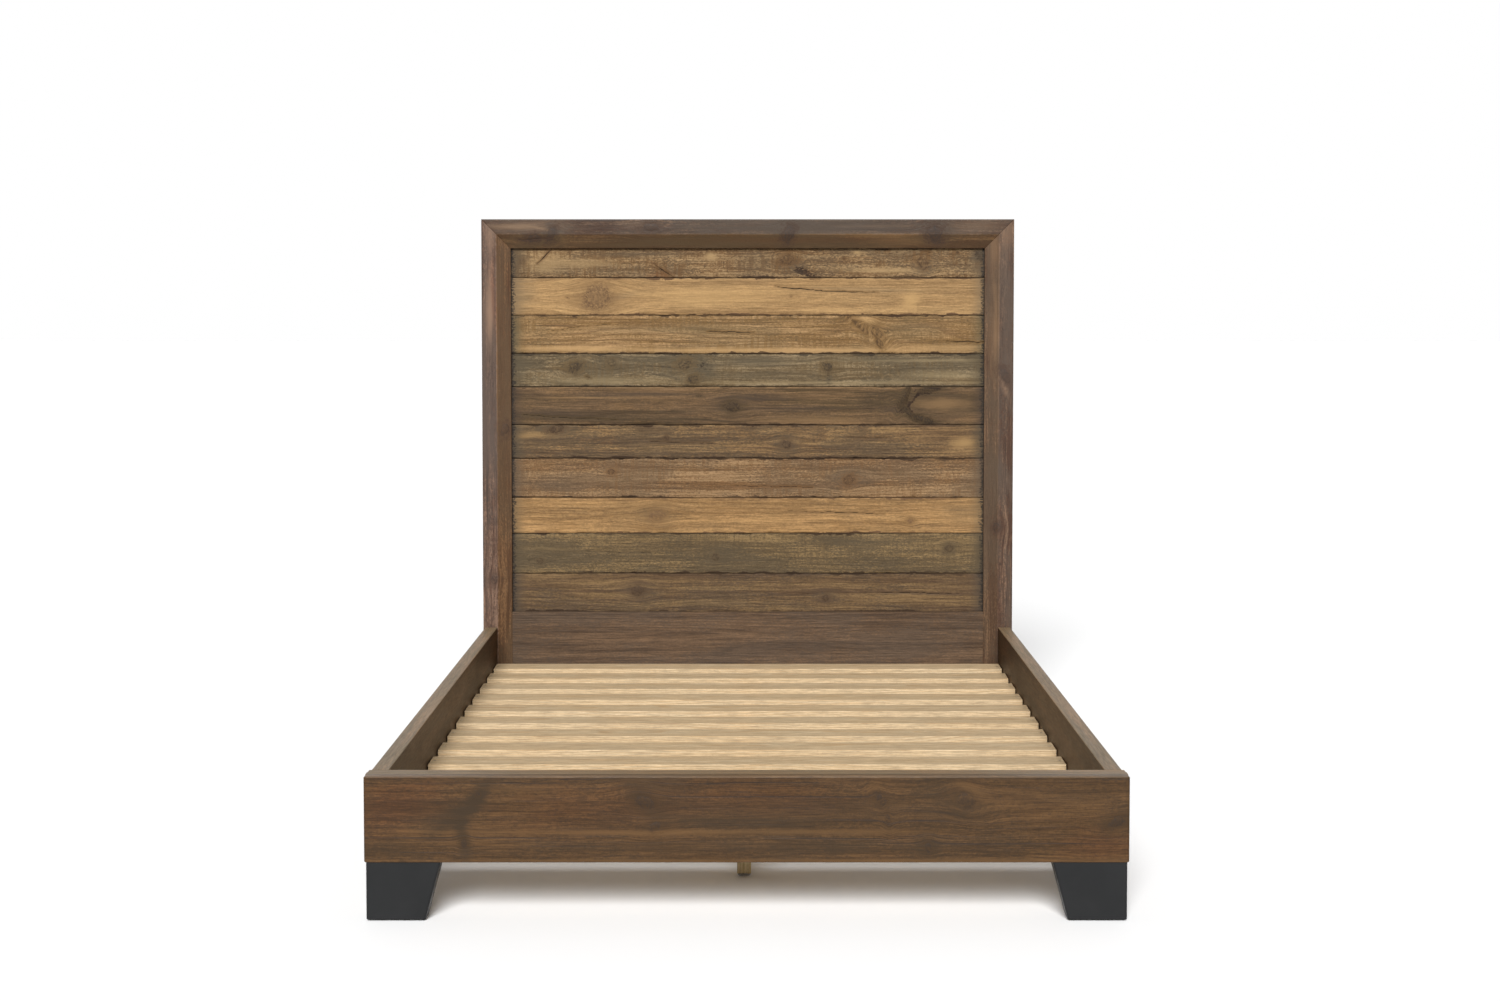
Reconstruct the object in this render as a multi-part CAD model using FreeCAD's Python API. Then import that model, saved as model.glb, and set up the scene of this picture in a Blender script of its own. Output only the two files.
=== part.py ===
import FreeCAD, Part
import math
import os

# Wooden panel bed for a 1524 x 2032 mm (queen) mattress: plank headboard in a bevelled frame,
# hollow box footboard, hook-on side rails, slat deck on a centre beam with levelling glides.
# X runs across the bed, Y from the foot end to the headboard, Z up from the floor.
# The origin is on the floor in the middle of the bed. All values are millimetres.

Vector = FreeCAD.Vector
x_axis = Vector(1, 0, 0)
y_axis = Vector(0, 1, 0)
z_axis = Vector(0, 0, 1)

# Driving dimensions
bed_width = 1625.0             # across the headboard and the footboard
well_length = 2056.0           # footboard to headboard, which is the side rails' length
headboard_height = 1562.0
foot_height = 127.0            # floor to the underside of the boards
rail_height = 184.0            # footboard and side rails
footboard_thickness = 70.0
headboard_thickness = 70.0
side_rail_thickness = 38.0
side_rail_inset = 5.5          # side rails stand in from the ends of the footboard
deck_height = 205.0            # floor to the top of the slats

# Headboard frame and its panel of planks
frame_width = 88.0             # face width of the stiles and the top rail
frame_flat = 46.0              # flat outer band of that face; the rest is bevelled
bevel_drop = 14.0
spline_length = 60.0           # keys glued into the mitres, along the mitre
spline_width = 30.0
spline_thickness = 6.0
spline_setback = 54.0          # frame face to the middle of the key
spline_clearance = 0.2
bottom_rail_height = 230.0
bottom_rail_thickness = 42.0
panel_recess = 24.0            # frame face back to the foremost plank face
plank_thickness = 20.0
panel_clearance = 0.25         # plank to groove wall, each side
groove_depth = 12.0
expansion_gap = 2.0            # plank end to the bottom of its groove
plank_faces = (90.0, 114.0, 118.5, 101.0, 117.0, 103.0, 121.0, 110.0, 124.0, 118.0)  # top to bottom
plank_setbacks = (1.0, 0.0, 0.6, 1.4, 0.4, 0.9, 0.0, 1.2, 0.5, 0.8)  # uneven reclaimed boards
tongue_thickness = 6.0
tongue_length = 7.0
tongue_clearance = 0.2
plank_gap = 0.6                # open joint between two plank faces
plank_chamfer = 1.5
batten_thickness = 18.0
batten_width = 70.0
batten_spacing = 500.0
batten_end_gap = 5.0

# Footboard box
face_board_thickness = 24.0
edge_strip_height = 30.0
end_block_length = 150.0

# Feet
foot_inset = 3.0
foot_top_width = 159.0
foot_bottom_width = 126.0
foot_edge_radius = 5.0
foot_sole_radius = 2.5
nail_glide_radius = 11.0
nail_glide_thickness = 3.0
nail_radius = 1.5
nail_length = 12.0
nail_clearance = 0.05
nail_glide_offsets = (36.0, 100.0)   # from the outer end of the bed
foot_bolt_offsets = (36.0, 118.0)

# Slat deck
slat_count = 12
slat_width = 95.0
slat_thickness = 20.0
slat_end_gap = 3.0
cleat_width = 25.0
cleat_height = 38.0
cleat_end_gap = 10.0
beam_width = 45.0
beam_height = 54.0
beam_end_gap = 1.0
leg_width = 32.0
leg_depth = 45.0
first_leg_setback = 362.0      # footboard face to the front face of the first leg

# Levelling glides of the centre legs
glide_base_radius = 15.0
glide_base_thickness = 5.0
glide_hex_across = 13.0
glide_height = 9.0             # floor to the underside of a centre leg
glide_shoulder_gap = 0.1
glide_stem_radius = 4.0
glide_stem_length = 35.0
glide_thread_clearance = 0.08
glide_drill_clearance = 0.6
glide_drill_depth = 40.0
insert_flange_radius = 9.0
insert_flange_thickness = 1.5
insert_barrel_radius = 5.5
insert_barrel_length = 14.0
insert_clearance = 0.1

# Rail hook plates and the slotted plates that receive them
plate_thickness = 3.0
plate_width = 26.0
plate_height = 150.0
plate_clearance = 0.1
plate_screw_heights = (-65.0, -6.0, 65.0)   # from the middle of the plate
hook_heights = (-48.0, 22.0)                # neck of each hook, from the middle of the plate
hook_thickness = 4.0
hook_neck_height = 22.0
hook_lip_drop = 8.0
hook_reach = 10.5
hook_lip_gap = 0.4             # slotted plate to the back of the lip
hook_seat_gap = 0.3
slot_height = 32.0
slot_side_gap = 0.5
hook_pocket_side_gap = 1.5
hook_pocket_end_gap = 2.0
hook_pocket_depth = 9.5        # behind the slotted plate

# Beam hangers
hanger_thickness = 3.0
hanger_side_gap = 0.5
hanger_depth = 40.0
hanger_cheek_height = 36.0
hanger_flange_width = 22.0
hanger_screw_heights = (13.0, 31.0)   # above the hanger's shelf

# Fasteners: shank radius, length, head radius, head depth
plate_screw = (2.2, 22.0, 4.4, 2.4)
long_screw = (2.4, 45.0, 4.6, 2.6)
short_screw = (1.9, 30.0, 3.8, 2.2)
screw_clearance = 0.05
drive_reach = 1.7              # arms of the cross recess in a screw's head
drive_width = 0.9
drive_depth = 1.8
bolt_machine_radius = 4.0
bolt_wood_radius = 3.6
bolt_machine_length = 40.0
bolt_wood_length = 36.0
bolt_tip_length = 6.0
bolt_clearance = 0.05

# Eased edges
board_edge = 2.5
frame_edge = 3.0
slat_edge = 2.0
leg_edge = 1.5

# Places that follow from the sizes above
half_width = bed_width / 2
overall_length = footboard_thickness + well_length + headboard_thickness
y_front = -overall_length / 2
y_well_foot = y_front + footboard_thickness
y_well_head = y_well_foot + well_length
y_back = y_well_head + headboard_thickness
z_under = foot_height
z_rail_top = foot_height + rail_height
z_bottom_rail = z_under + bottom_rail_height
z_panel_top = headboard_height - frame_width
x_rail_outer = half_width - side_rail_inset
x_rail_inner = x_rail_outer - side_rail_thickness
x_rail_middle = x_rail_outer - side_rail_thickness / 2
x_frame_inner = half_width - frame_width
z_slat_under = deck_height - slat_thickness
z_plate = z_under + rail_height / 2
y_bottom_rail = y_well_head + bevel_drop
y_panel = y_well_head + panel_recess
y_panel_back = y_panel + plank_thickness
plank_reach = groove_depth - expansion_gap
slat_pitch = well_length / slat_count
slat_middles = [y_well_foot + slat_pitch * (i + 0.5) for i in range(slat_count)]
z_beam_under = z_slat_under - beam_height
x_leg = (leg_width - beam_width) / 2    # legs are flush with the beam's left side
y_first_leg = y_front + first_leg_setback + leg_depth / 2
leg_middles = (y_first_leg, (y_front + y_back) / 2, y_front + y_back - y_first_leg)
batten_middles = (-batten_spacing, 0.0, batten_spacing)
y_foot_middle = y_front + footboard_thickness / 2
y_head_middle = y_well_head + headboard_thickness / 2


def box(x0, x1, y0, y1, z0, z1):
    low_x, high_x = min(x0, x1), max(x0, x1)
    low_y, high_y = min(y0, y1), max(y0, y1)
    return Part.makeBox(high_x - low_x, high_y - low_y, z1 - z0, Vector(low_x, low_y, z0))


def prism(points, travel):
    corners = [Vector(*point) for point in points]
    return Part.Face(Part.makePolygon(corners + corners[:1])).extrude(travel)


def spun(outline, place, direction):
    """A solid turned about an axis: outline is (radius, distance along the axis) points."""
    corners = [Vector(radius, 0, along) for radius, along in outline]
    turned = Part.Face(Part.makePolygon(corners + corners[:1])).revolve(Vector(0, 0, 0), z_axis, 360)
    turned.Placement = FreeCAD.Placement(place, FreeCAD.Rotation(z_axis, direction))
    return Part.Solid(turned) if turned.ShapeType == "Shell" else turned


def edges_along(shape, direction, keep=None):
    """Straight edges parallel to direction, of those whose middle point passes keep."""
    found = []
    for edge in shape.Edges:
        ends = [vertex.Point for vertex in edge.Vertexes]
        if len(ends) != 2 or not isinstance(edge.Curve, Part.Line):
            continue
        run = (ends[1] - ends[0]).normalize()
        if abs(run.dot(direction)) < 0.999:
            continue
        if keep is None or keep((ends[0] + ends[1]) * 0.5):
            found.append(edge)
    return found


def eased(shape, radius, direction, keep=None):
    return shape.makeFillet(radius, edges_along(shape, direction, keep))


def cut_all(shape, cutters):
    for cutter in cutters:
        shape = shape.cut(cutter)
    return shape.removeSplitter()


def solids_of(shapes):
    return [solid for shape in shapes for solid in shape.Solids]


def save(name, *shapes):
    solids = solids_of(shapes)
    whole = solids[0] if len(solids) == 1 else Part.makeCompound(solids)
    whole.exportStep(f"parts/{name}.step")
    print(name, len(solids), "solid(s)", round(whole.Volume / 1000), "cm3")


def screw(size, place, direction):
    radius, length, head_radius, head_depth = size
    tip = 2 * radius
    outline = [(0, 0), (head_radius, 0), (radius, head_depth), (radius, length - tip), (0, length)]
    half = drive_width / 2
    recess = box(-drive_reach, drive_reach, -half, half, -1, drive_depth)
    recess = recess.fuse(box(-half, half, -drive_reach, drive_reach, -1, drive_depth))
    recess.Placement = FreeCAD.Placement(place, FreeCAD.Rotation(z_axis, direction))
    return spun(outline, place, direction).cut(recess)


def screw_hole(size, place, direction):
    radius, length, head_radius, head_depth = size
    wide = head_radius + screw_clearance
    narrow = radius + screw_clearance
    end = length + screw_clearance
    outline = [(0, -1), (wide, -1), (wide, 0), (narrow, head_depth), (narrow, end), (0, end)]
    return spun(outline, place, direction)


def hanger_bolt(place):
    """Double-ended bolt: place is where the two wooden pieces meet, wood thread upwards."""
    below = -bolt_machine_length
    shoulder = bolt_wood_length
    point = shoulder + bolt_tip_length
    outline = [(0, below), (bolt_machine_radius, below), (bolt_machine_radius, 0),
               (bolt_wood_radius, 0), (bolt_wood_radius, shoulder), (0, point)]
    return spun(outline, place, z_axis)


def hanger_bolt_hole(place):
    below = -bolt_machine_length - 1
    above = bolt_wood_length + bolt_tip_length + 1
    machine = bolt_machine_radius + bolt_clearance
    wood = bolt_wood_radius + bolt_clearance
    outline = [(0, below), (machine, below), (machine, 0), (wood, 0), (wood, above), (0, above)]
    return spun(outline, place, z_axis)


# Places of the fasteners, shared by the pieces that they go through

def bolt_places(y_middle, side):
    return [Vector(side * (half_width - offset), y_middle, z_under) for offset in foot_bolt_offsets]


def leg_bolt_places():
    return [Vector(x_leg, y, z_beam_under) for y in leg_middles]


def plate_screw_places(side, y):
    return [Vector(side * x_rail_middle, y, z_plate + height) for height in plate_screw_heights]


def slat_screw_places():
    x = x_rail_inner - cleat_width / 2
    return [Vector(side * x, y, deck_height) for y in slat_middles for side in (-1, 1)]


def cleat_screw_places(side):
    """One in every second gap between slats, clear of the slats' own screws."""
    gaps = [(a + b) / 2 for a, b in zip(slat_middles[:-1:2], slat_middles[1::2])]
    z = z_slat_under - cleat_height / 2
    return [Vector(side * (x_rail_inner - cleat_width), y, z) for y in gaps]


def hanger_screw_places(y):
    x = beam_width / 2 + hanger_side_gap + hanger_thickness + hanger_flange_width / 2
    heights = [z_beam_under + height for height in hanger_screw_heights]
    return [Vector(side * x, y, z) for side in (-1, 1) for z in heights]


def batten_screw_places():
    y = y_panel_back + batten_thickness
    return [Vector(x, y, (low + high) / 2) for x in batten_middles for low, high in plank_bounds()]


# Headboard

def plank_bounds():
    """Lowest and highest face line of each plank, from the top one down, filling the frame."""
    scale = (z_panel_top - z_bottom_rail) / sum(plank_faces)
    bounds = []
    high = z_panel_top
    for face in plank_faces:
        bounds.append((high - face * scale, high))
        high -= face * scale
    return bounds


def frame_outline():
    """Section of a stile or the top rail: (in from the outer edge, back from the face)."""
    front = panel_recess - panel_clearance
    back = panel_recess + plank_thickness + panel_clearance
    groove = frame_width - groove_depth
    return [(0, 0), (frame_flat, 0), (frame_width, bevel_drop), (frame_width, front),
            (groove, front), (groove, back), (frame_width, back),
            (frame_width, headboard_thickness), (0, headboard_thickness)]


def receiver_cuts(side, y_face, inward):
    """Recess for a slotted plate and the pockets behind its slots; inward is +1 or -1 along Y."""
    x = side * x_rail_middle
    wide = plate_width / 2 + plate_clearance
    tall = plate_height / 2 + plate_clearance
    deep = y_face + inward * plate_thickness
    cuts = [box(x - wide, x + wide, y_face - inward, deep, z_plate - tall, z_plate + tall)]
    half = hook_thickness / 2 + hook_pocket_side_gap
    for height in hook_heights:
        low = z_plate + height - hook_lip_drop - hook_pocket_end_gap
        high = z_plate + height + slot_height + hook_pocket_end_gap
        cuts.append(box(x - half, x + half, deep, deep + inward * hook_pocket_depth, low, high))
    cuts += [screw_hole(plate_screw, place, y_axis * inward)
             for place in plate_screw_places(side, y_face)]
    return cuts


def mitre_spline(side, slack=0.0):
    """Key across a top corner's mitre; slack grows it into the slot that is cut for it."""
    x = side * (half_width - frame_width / 2)
    z = headboard_height - frame_width / 2
    reach = (spline_length / 2 + slack) * math.sqrt(0.5)
    half = (spline_width / 2 + slack) * math.sqrt(0.5)
    thick = spline_thickness + 2 * slack
    y = y_well_head + spline_setback - thick / 2
    points = [(x + side * (along + across), y, z + along - across)
              for along, across in ((reach, half), (reach, -half), (-reach, -half), (-reach, half))]
    return prism(points, y_axis * thick)


def stile(side):
    points = [(side * (half_width - across), y_well_head + back, z_under)
              for across, back in frame_outline()]
    post = prism(points, z_axis * (headboard_height - z_under))
    post = eased(post, frame_edge, z_axis, lambda p: abs(abs(p.x) - half_width) < 0.1)
    outer, inner = side * (half_width + 1), side * x_frame_inner
    past = headboard_height + 1
    face = [(outer, y_well_head - 1, z_under), (outer, y_well_head - 1, past),
            (inner, y_well_head - 1, z_panel_top), (inner, y_well_head - 1, z_under)]
    post = post.common(prism(face, y_axis * (headboard_thickness + 2)))
    cuts = receiver_cuts(side, y_well_head, 1) + [mitre_spline(side, spline_clearance)]
    cuts += [hanger_bolt_hole(place) for place in bolt_places(y_head_middle, side)]
    return cut_all(post, cuts)


def top_rail():
    points = [(-half_width, y_well_head + back, headboard_height - down)
              for down, back in frame_outline()]
    rail = prism(points, x_axis * bed_width)
    rail = eased(rail, frame_edge, x_axis, lambda p: abs(p.z - headboard_height) < 0.1)
    past = headboard_height + 1
    y = y_well_head - 1
    face = [(-half_width - 1, y, past), (half_width + 1, y, past),
            (x_frame_inner, y, z_panel_top), (-x_frame_inner, y, z_panel_top)]
    rail = rail.common(prism(face, y_axis * (headboard_thickness + 2)))
    return cut_all(rail, [mitre_spline(side, spline_clearance) for side in (-1, 1)])


def bottom_rail():
    back = y_bottom_rail + bottom_rail_thickness
    rail = box(-x_frame_inner, x_frame_inner, y_bottom_rail, back, z_under, z_bottom_rail)
    end = x_frame_inner + plank_reach
    tenon_top = z_bottom_rail - groove_depth
    rail = rail.fuse(box(-end, end, y_panel, y_panel_back, z_under, tenon_top))
    groove = box(-x_frame_inner, x_frame_inner, y_panel - panel_clearance,
                 y_panel_back + panel_clearance, tenon_top, z_bottom_rail)
    cuts = [groove]
    cuts += [hanger_bolt_hole(p) for side in (-1, 1) for p in bolt_places(y_head_middle, side)]
    cuts += [screw_hole(plate_screw, place, y_axis)
             for place in hanger_screw_places(y_bottom_rail - hanger_thickness)]
    return cut_all(rail, cuts)


def plank(number):
    low, high = plank_bounds()[number]
    front = y_panel + plank_setbacks[number]
    middle = (y_panel + y_panel_back) / 2
    top = high - plank_gap / 2
    under = low + plank_gap / 2
    first = number == 0
    last = number == len(plank_faces) - 1
    thin = tongue_thickness / 2
    slack = thin + tongue_clearance
    if first:
        upper = [(front, high + plank_reach), (y_panel_back, high + plank_reach)]
    else:
        upper = [(front, top - plank_chamfer), (front + plank_chamfer, top), (middle - thin, top),
                 (middle - thin, top + tongue_length), (middle + thin, top + tongue_length),
                 (middle + thin, top), (y_panel_back, top)]
    if last:
        lower = [(y_panel_back, low - plank_reach), (front, low - plank_reach)]
    else:
        deep = under + tongue_length + 1
        lower = [(y_panel_back, under), (middle + slack, under), (middle + slack, deep),
                 (middle - slack, deep), (middle - slack, under),
                 (front + plank_chamfer, under), (front, under + plank_chamfer)]
    end = x_frame_inner + plank_reach
    board = prism([(-end, y, z) for y, z in upper + lower], x_axis * (2 * end))
    cuts = [screw_hole(short_screw, place, y_axis * -1)
            for place in batten_screw_places() if low < place.z < high]
    return cut_all(board, cuts)


def batten(x):
    y_rear = y_panel_back + batten_thickness
    strip = box(x - batten_width / 2, x + batten_width / 2, y_panel_back, y_rear,
                z_bottom_rail + batten_end_gap, z_panel_top - batten_end_gap)
    strip = eased(strip, slat_edge, z_axis, lambda p: abs(p.y - y_rear) < 0.1)
    cuts = [screw_hole(short_screw, place, y_axis * -1)
            for place in batten_screw_places() if abs(place.x - x) < 0.1]
    return cut_all(strip, cuts)


# Footboard

def front_board():
    y1 = y_front + face_board_thickness
    board = box(-half_width, half_width, y_front, y1, z_under, z_rail_top)
    return board.makeFillet(board_edge, [e for e in board.Edges if abs(e.CenterOfMass.y - y_front) < 0.1])


def back_board():
    y0 = y_well_foot - face_board_thickness
    board = box(-half_width, half_width, y0, y_well_foot, z_under, z_rail_top)
    board = eased(board, board_edge, z_axis, lambda p: abs(p.y - y_well_foot) < 0.1)
    board = eased(board, board_edge, x_axis, lambda p: abs(p.y - y_well_foot) < 0.1)
    cuts = receiver_cuts(-1, y_well_foot, -1) + receiver_cuts(1, y_well_foot, -1)
    cuts += [screw_hole(plate_screw, place, y_axis * -1)
             for place in hanger_screw_places(y_well_foot + hanger_thickness)]
    return cut_all(board, cuts)


def footboard_core(x0, x1, z0, z1):
    y0 = y_front + face_board_thickness
    return box(x0, x1, y0, y_well_foot - face_board_thickness, z0, z1)


def end_block(side):
    x0, x1 = side * (half_width - end_block_length), side * half_width
    block = footboard_core(x0, x1, z_under, z_rail_top)
    return cut_all(block, [hanger_bolt_hole(place) for place in bolt_places(y_foot_middle, side)])


# Feet

def foot(side, y_middle, depth):
    """Block with an upright outer side and a slanted inner side, its corners rounded."""
    outer = side * (half_width - foot_inset)
    top_inner = side * (half_width - foot_inset - foot_top_width)
    sole_inner = side * (half_width - foot_inset - foot_bottom_width)
    y = y_middle - depth / 2
    sole = nail_glide_thickness
    points = [(outer, y, sole), (outer, y, z_under), (top_inner, y, z_under), (sole_inner, y, sole)]
    block = prism(points, y_axis * depth)
    upright = [e for e in block.Edges if abs(e.CenterOfMass.z - (sole + z_under) / 2) < 0.1]
    block = block.makeFillet(foot_edge_radius, upright)
    around = [e for e in block.Edges if e.BoundBox.ZMax < sole + 0.1]
    block = block.makeFillet(foot_sole_radius, around)
    cuts = [hanger_bolt_hole(place) for place in bolt_places(y_middle, side)]
    cuts += [Part.makeCylinder(nail_radius + nail_clearance, nail_length + 1, place)
             for place in nail_glide_places(side, y_middle)]
    return cut_all(block, cuts)


def nail_glide_places(side, y_middle):
    return [Vector(side * (half_width - offset), y_middle, nail_glide_thickness)
            for offset in nail_glide_offsets]


def nail_glide(place):
    """Nylon disc on a nail: place is where the disc meets the foot."""
    rim = nail_glide_radius - 1
    outline = [(0, -nail_glide_thickness), (rim, -nail_glide_thickness),
               (nail_glide_radius, 1 - nail_glide_thickness), (nail_glide_radius, 0),
               (nail_radius, 0), (nail_radius, nail_length - 2), (0, nail_length)]
    return spun(outline, place, z_axis)


# Side rails and their hardware

def side_rail(side):
    board = box(side * x_rail_inner, side * x_rail_outer, y_well_foot, y_well_head, z_under, z_rail_top)
    board = eased(board, board_edge, y_axis)
    x = side * x_rail_middle
    wide = plate_width / 2 + plate_clearance
    tall = plate_height / 2 + plate_clearance
    cuts = []
    for y_end, inward in ((y_well_foot, 1), (y_well_head, -1)):
        cuts.append(box(x - wide, x + wide, y_end - inward, y_end + inward * plate_thickness,
                        z_plate - tall, z_plate + tall))
        cuts += [screw_hole(long_screw, p, y_axis * inward) for p in plate_screw_places(side, y_end)]
    cuts += [screw_hole(long_screw, place, x_axis * side) for place in cleat_screw_places(side)]
    return cut_all(board, cuts)


def hook_plate(side, y_end, outward):
    """Plate let into a rail's end; its hooks reach outward (+1 or -1 along Y) and turn down."""
    x = side * x_rail_middle
    plate = box(x - plate_width / 2, x + plate_width / 2, y_end - outward * plate_thickness, y_end,
                z_plate - plate_height / 2, z_plate + plate_height / 2)
    lip = plate_thickness + hook_lip_gap
    for height in hook_heights:
        seat = z_plate + height
        outline = [(-1, seat), (lip, seat), (lip, seat - hook_lip_drop),
                   (hook_reach - 2, seat - hook_lip_drop), (hook_reach, seat - hook_lip_drop + 4),
                   (hook_reach, seat + hook_neck_height - 8), (lip, seat + hook_neck_height),
                   (-1, seat + hook_neck_height)]
        points = [(x - hook_thickness / 2, y_end + outward * reach, z) for reach, z in outline]
        plate = plate.fuse(prism(points, x_axis * hook_thickness))
    cuts = [screw_hole(long_screw, p, y_axis * -outward) for p in plate_screw_places(side, y_end)]
    return cut_all(plate, cuts)


def slotted_plate(side, y_face, inward):
    x = side * x_rail_middle
    plate = box(x - plate_width / 2, x + plate_width / 2, y_face, y_face + inward * plate_thickness,
                z_plate - plate_height / 2, z_plate + plate_height / 2)
    half = hook_thickness / 2 + slot_side_gap
    cuts = []
    for height in hook_heights:
        low = z_plate + height - hook_seat_gap
        cuts.append(box(x - half, x + half, y_face - inward, y_face + inward * (plate_thickness + 1),
                        low, low + slot_height))
    cuts += [screw_hole(plate_screw, p, y_axis * inward) for p in plate_screw_places(side, y_face)]
    return cut_all(plate, cuts)


# Slat deck

def cleat(side):
    x0 = x_rail_inner - cleat_width
    strip = box(side * x0, side * x_rail_inner, y_well_foot + cleat_end_gap,
                y_well_head - cleat_end_gap, z_slat_under - cleat_height, z_slat_under)
    strip = eased(strip, leg_edge, y_axis, lambda p: abs(abs(p.x) - x0) < 0.1)
    cuts = [screw_hole(long_screw, place, x_axis * side) for place in cleat_screw_places(side)]
    cuts += [screw_hole(short_screw, p, z_axis * -1) for p in slat_screw_places() if p.x * side > 0]
    return cut_all(strip, cuts)


def slat(y):
    end = x_rail_inner - slat_end_gap
    board = box(-end, end, y - slat_width / 2, y + slat_width / 2, z_slat_under, deck_height)
    board = eased(board, slat_edge, x_axis)
    cuts = [screw_hole(short_screw, p, z_axis * -1) for p in slat_screw_places() if abs(p.y - y) < 0.1]
    return cut_all(board, cuts)


def centre_beam():
    y0 = y_well_foot + hanger_thickness + beam_end_gap
    y1 = y_bottom_rail - hanger_thickness - beam_end_gap
    beam = box(-beam_width / 2, beam_width / 2, y0, y1, z_beam_under, z_slat_under)
    beam = eased(beam, slat_edge, y_axis)
    return cut_all(beam, [hanger_bolt_hole(place) for place in leg_bolt_places()])


def beam_hanger(y_face, outward):
    """Folded steel saddle on the board at y_face; outward is the way to the beam along Y."""
    inner = beam_width / 2 + hanger_side_gap
    outer = inner + hanger_thickness
    wing = outer + hanger_flange_width
    low = z_beam_under - hanger_thickness
    high = z_beam_under + hanger_cheek_height
    y_plate = y_face + outward * hanger_thickness
    y_end = y_face + outward * hanger_depth
    saddle = box(-wing, wing, y_face, y_plate, low, high)
    saddle = saddle.fuse(box(-outer, outer, y_face, y_end, low, z_beam_under))
    for side in (-1, 1):
        saddle = saddle.fuse(box(side * inner, side * outer, y_face, y_end, low, high))
    cuts = [screw_hole(plate_screw, p, y_axis * -outward) for p in hanger_screw_places(y_plate)]
    return cut_all(saddle, cuts)


def centre_leg(y):
    leg = box(x_leg - leg_width / 2, x_leg + leg_width / 2, y - leg_depth / 2, y + leg_depth / 2,
              glide_height, z_beam_under)
    leg = eased(leg, leg_edge, z_axis)
    flange = insert_flange_radius + insert_clearance
    barrel = insert_barrel_radius + insert_clearance
    drill = glide_stem_radius + glide_drill_clearance
    seat = insert_flange_thickness
    outline = [(0, -1), (flange, -1), (flange, seat), (barrel, seat), (barrel, insert_barrel_length),
               (drill, insert_barrel_length), (drill, glide_drill_depth), (0, glide_drill_depth)]
    cuts = [spun(outline, Vector(x_leg, y, glide_height), z_axis),
            hanger_bolt_hole(Vector(x_leg, y, z_beam_under))]
    return cut_all(leg, cuts)


def leg_insert(y):
    """Flanged threaded insert, flush with the underside of a centre leg."""
    bore = glide_stem_radius + glide_thread_clearance
    seat = insert_flange_thickness
    outline = [(bore, 0), (insert_flange_radius, 0), (insert_flange_radius, seat),
               (insert_barrel_radius, seat), (insert_barrel_radius, insert_barrel_length - 0.2),
               (bore, insert_barrel_length - 0.2)]
    return spun(outline, Vector(x_leg, y, glide_height), z_axis)


def levelling_glide(y):
    """Threaded stem with a hexagon and a round base, screwed fully in."""
    shoulder = glide_height - glide_shoulder_gap
    radius, base = glide_base_radius, glide_base_thickness
    outline = [(0, 0), (radius - 1.5, 0), (radius, 1.5), (radius, base - 1), (radius - 2, base), (0, base)]
    glide = spun(outline, Vector(x_leg, y, 0), z_axis)
    corner = glide_hex_across / 2 / math.cos(math.pi / 6)
    turns = [math.pi / 3 * i for i in range(6)]
    hexagon = [(x_leg + corner * math.cos(a), y + corner * math.sin(a), base - 0.5) for a in turns]
    glide = glide.fuse(prism(hexagon, z_axis * (shoulder - base + 0.5)))
    stem = glide_stem_radius
    top = shoulder + glide_stem_length
    outline = [(0, base), (stem, base), (stem, top - 1), (stem - 1, top), (0, top)]
    return glide.fuse(spun(outline, Vector(x_leg, y, 0), z_axis)).removeSplitter()


os.makedirs("parts", exist_ok=True)
sides = {"left": -1, "right": 1}

for name, side in sides.items():
    save(f"headboard_stile_{name}", stile(side))
    save(f"footboard_end_block_{name}", end_block(side))
    save(f"side_rail_{name}", side_rail(side))
    save(f"slat_cleat_{name}", cleat(side))
    save(f"foot_front_{name}", foot(side, y_foot_middle, footboard_thickness - 2 * foot_inset))
    save(f"foot_rear_{name}", foot(side, y_head_middle, headboard_thickness - 2 * foot_inset))

save("headboard_top_rail", top_rail())
save("headboard_bottom_rail", bottom_rail())
save("headboard_mitre_splines", mitre_spline(-1), mitre_spline(1))
for number in range(len(plank_faces)):
    save(f"headboard_plank_{number + 1:02d}", plank(number))
for name, x in zip(("left", "middle", "right"), batten_middles):
    save(f"headboard_batten_{name}", batten(x))

x_core = half_width - end_block_length
save("footboard_front_board", front_board())
save("footboard_back_board", back_board())
save("footboard_top_strip", footboard_core(-x_core, x_core, z_rail_top - edge_strip_height, z_rail_top))
save("footboard_bottom_strip", footboard_core(-x_core, x_core, z_under, z_under + edge_strip_height))

for number, y in enumerate(slat_middles, 1):
    save(f"slat_{number:02d}", slat(y))
save("centre_beam", centre_beam())
save("beam_hangers", beam_hanger(y_well_foot, 1), beam_hanger(y_bottom_rail, -1))
for number, y in enumerate(leg_middles, 1):
    save(f"centre_leg_{number}", centre_leg(y))
    save(f"levelling_glide_{number}", levelling_glide(y))
save("leg_threaded_inserts", *[leg_insert(y) for y in leg_middles])

rail_ends = [(side, y, way) for side in (-1, 1) for y, way in ((y_well_foot, -1), (y_well_head, 1))]
save("rail_hook_plates", *[hook_plate(*end) for end in rail_ends])
save("rail_slotted_plates", *[slotted_plate(*end) for end in rail_ends])

board_screws = [screw(plate_screw, place, y_axis * way)
                for side, y, way in rail_ends for place in plate_screw_places(side, y)]
for y, way in ((y_well_foot + hanger_thickness, -1), (y_bottom_rail - hanger_thickness, 1)):
    board_screws += [screw(plate_screw, place, y_axis * way) for place in hanger_screw_places(y)]
save("plate_screws", *board_screws)

rail_screws = [screw(long_screw, place, y_axis * -way)
               for side, y, way in rail_ends for place in plate_screw_places(side, y)]
rail_screws += [screw(long_screw, place, x_axis * side)
                for side in (-1, 1) for place in cleat_screw_places(side)]
save("rail_screws", *rail_screws)

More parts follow.
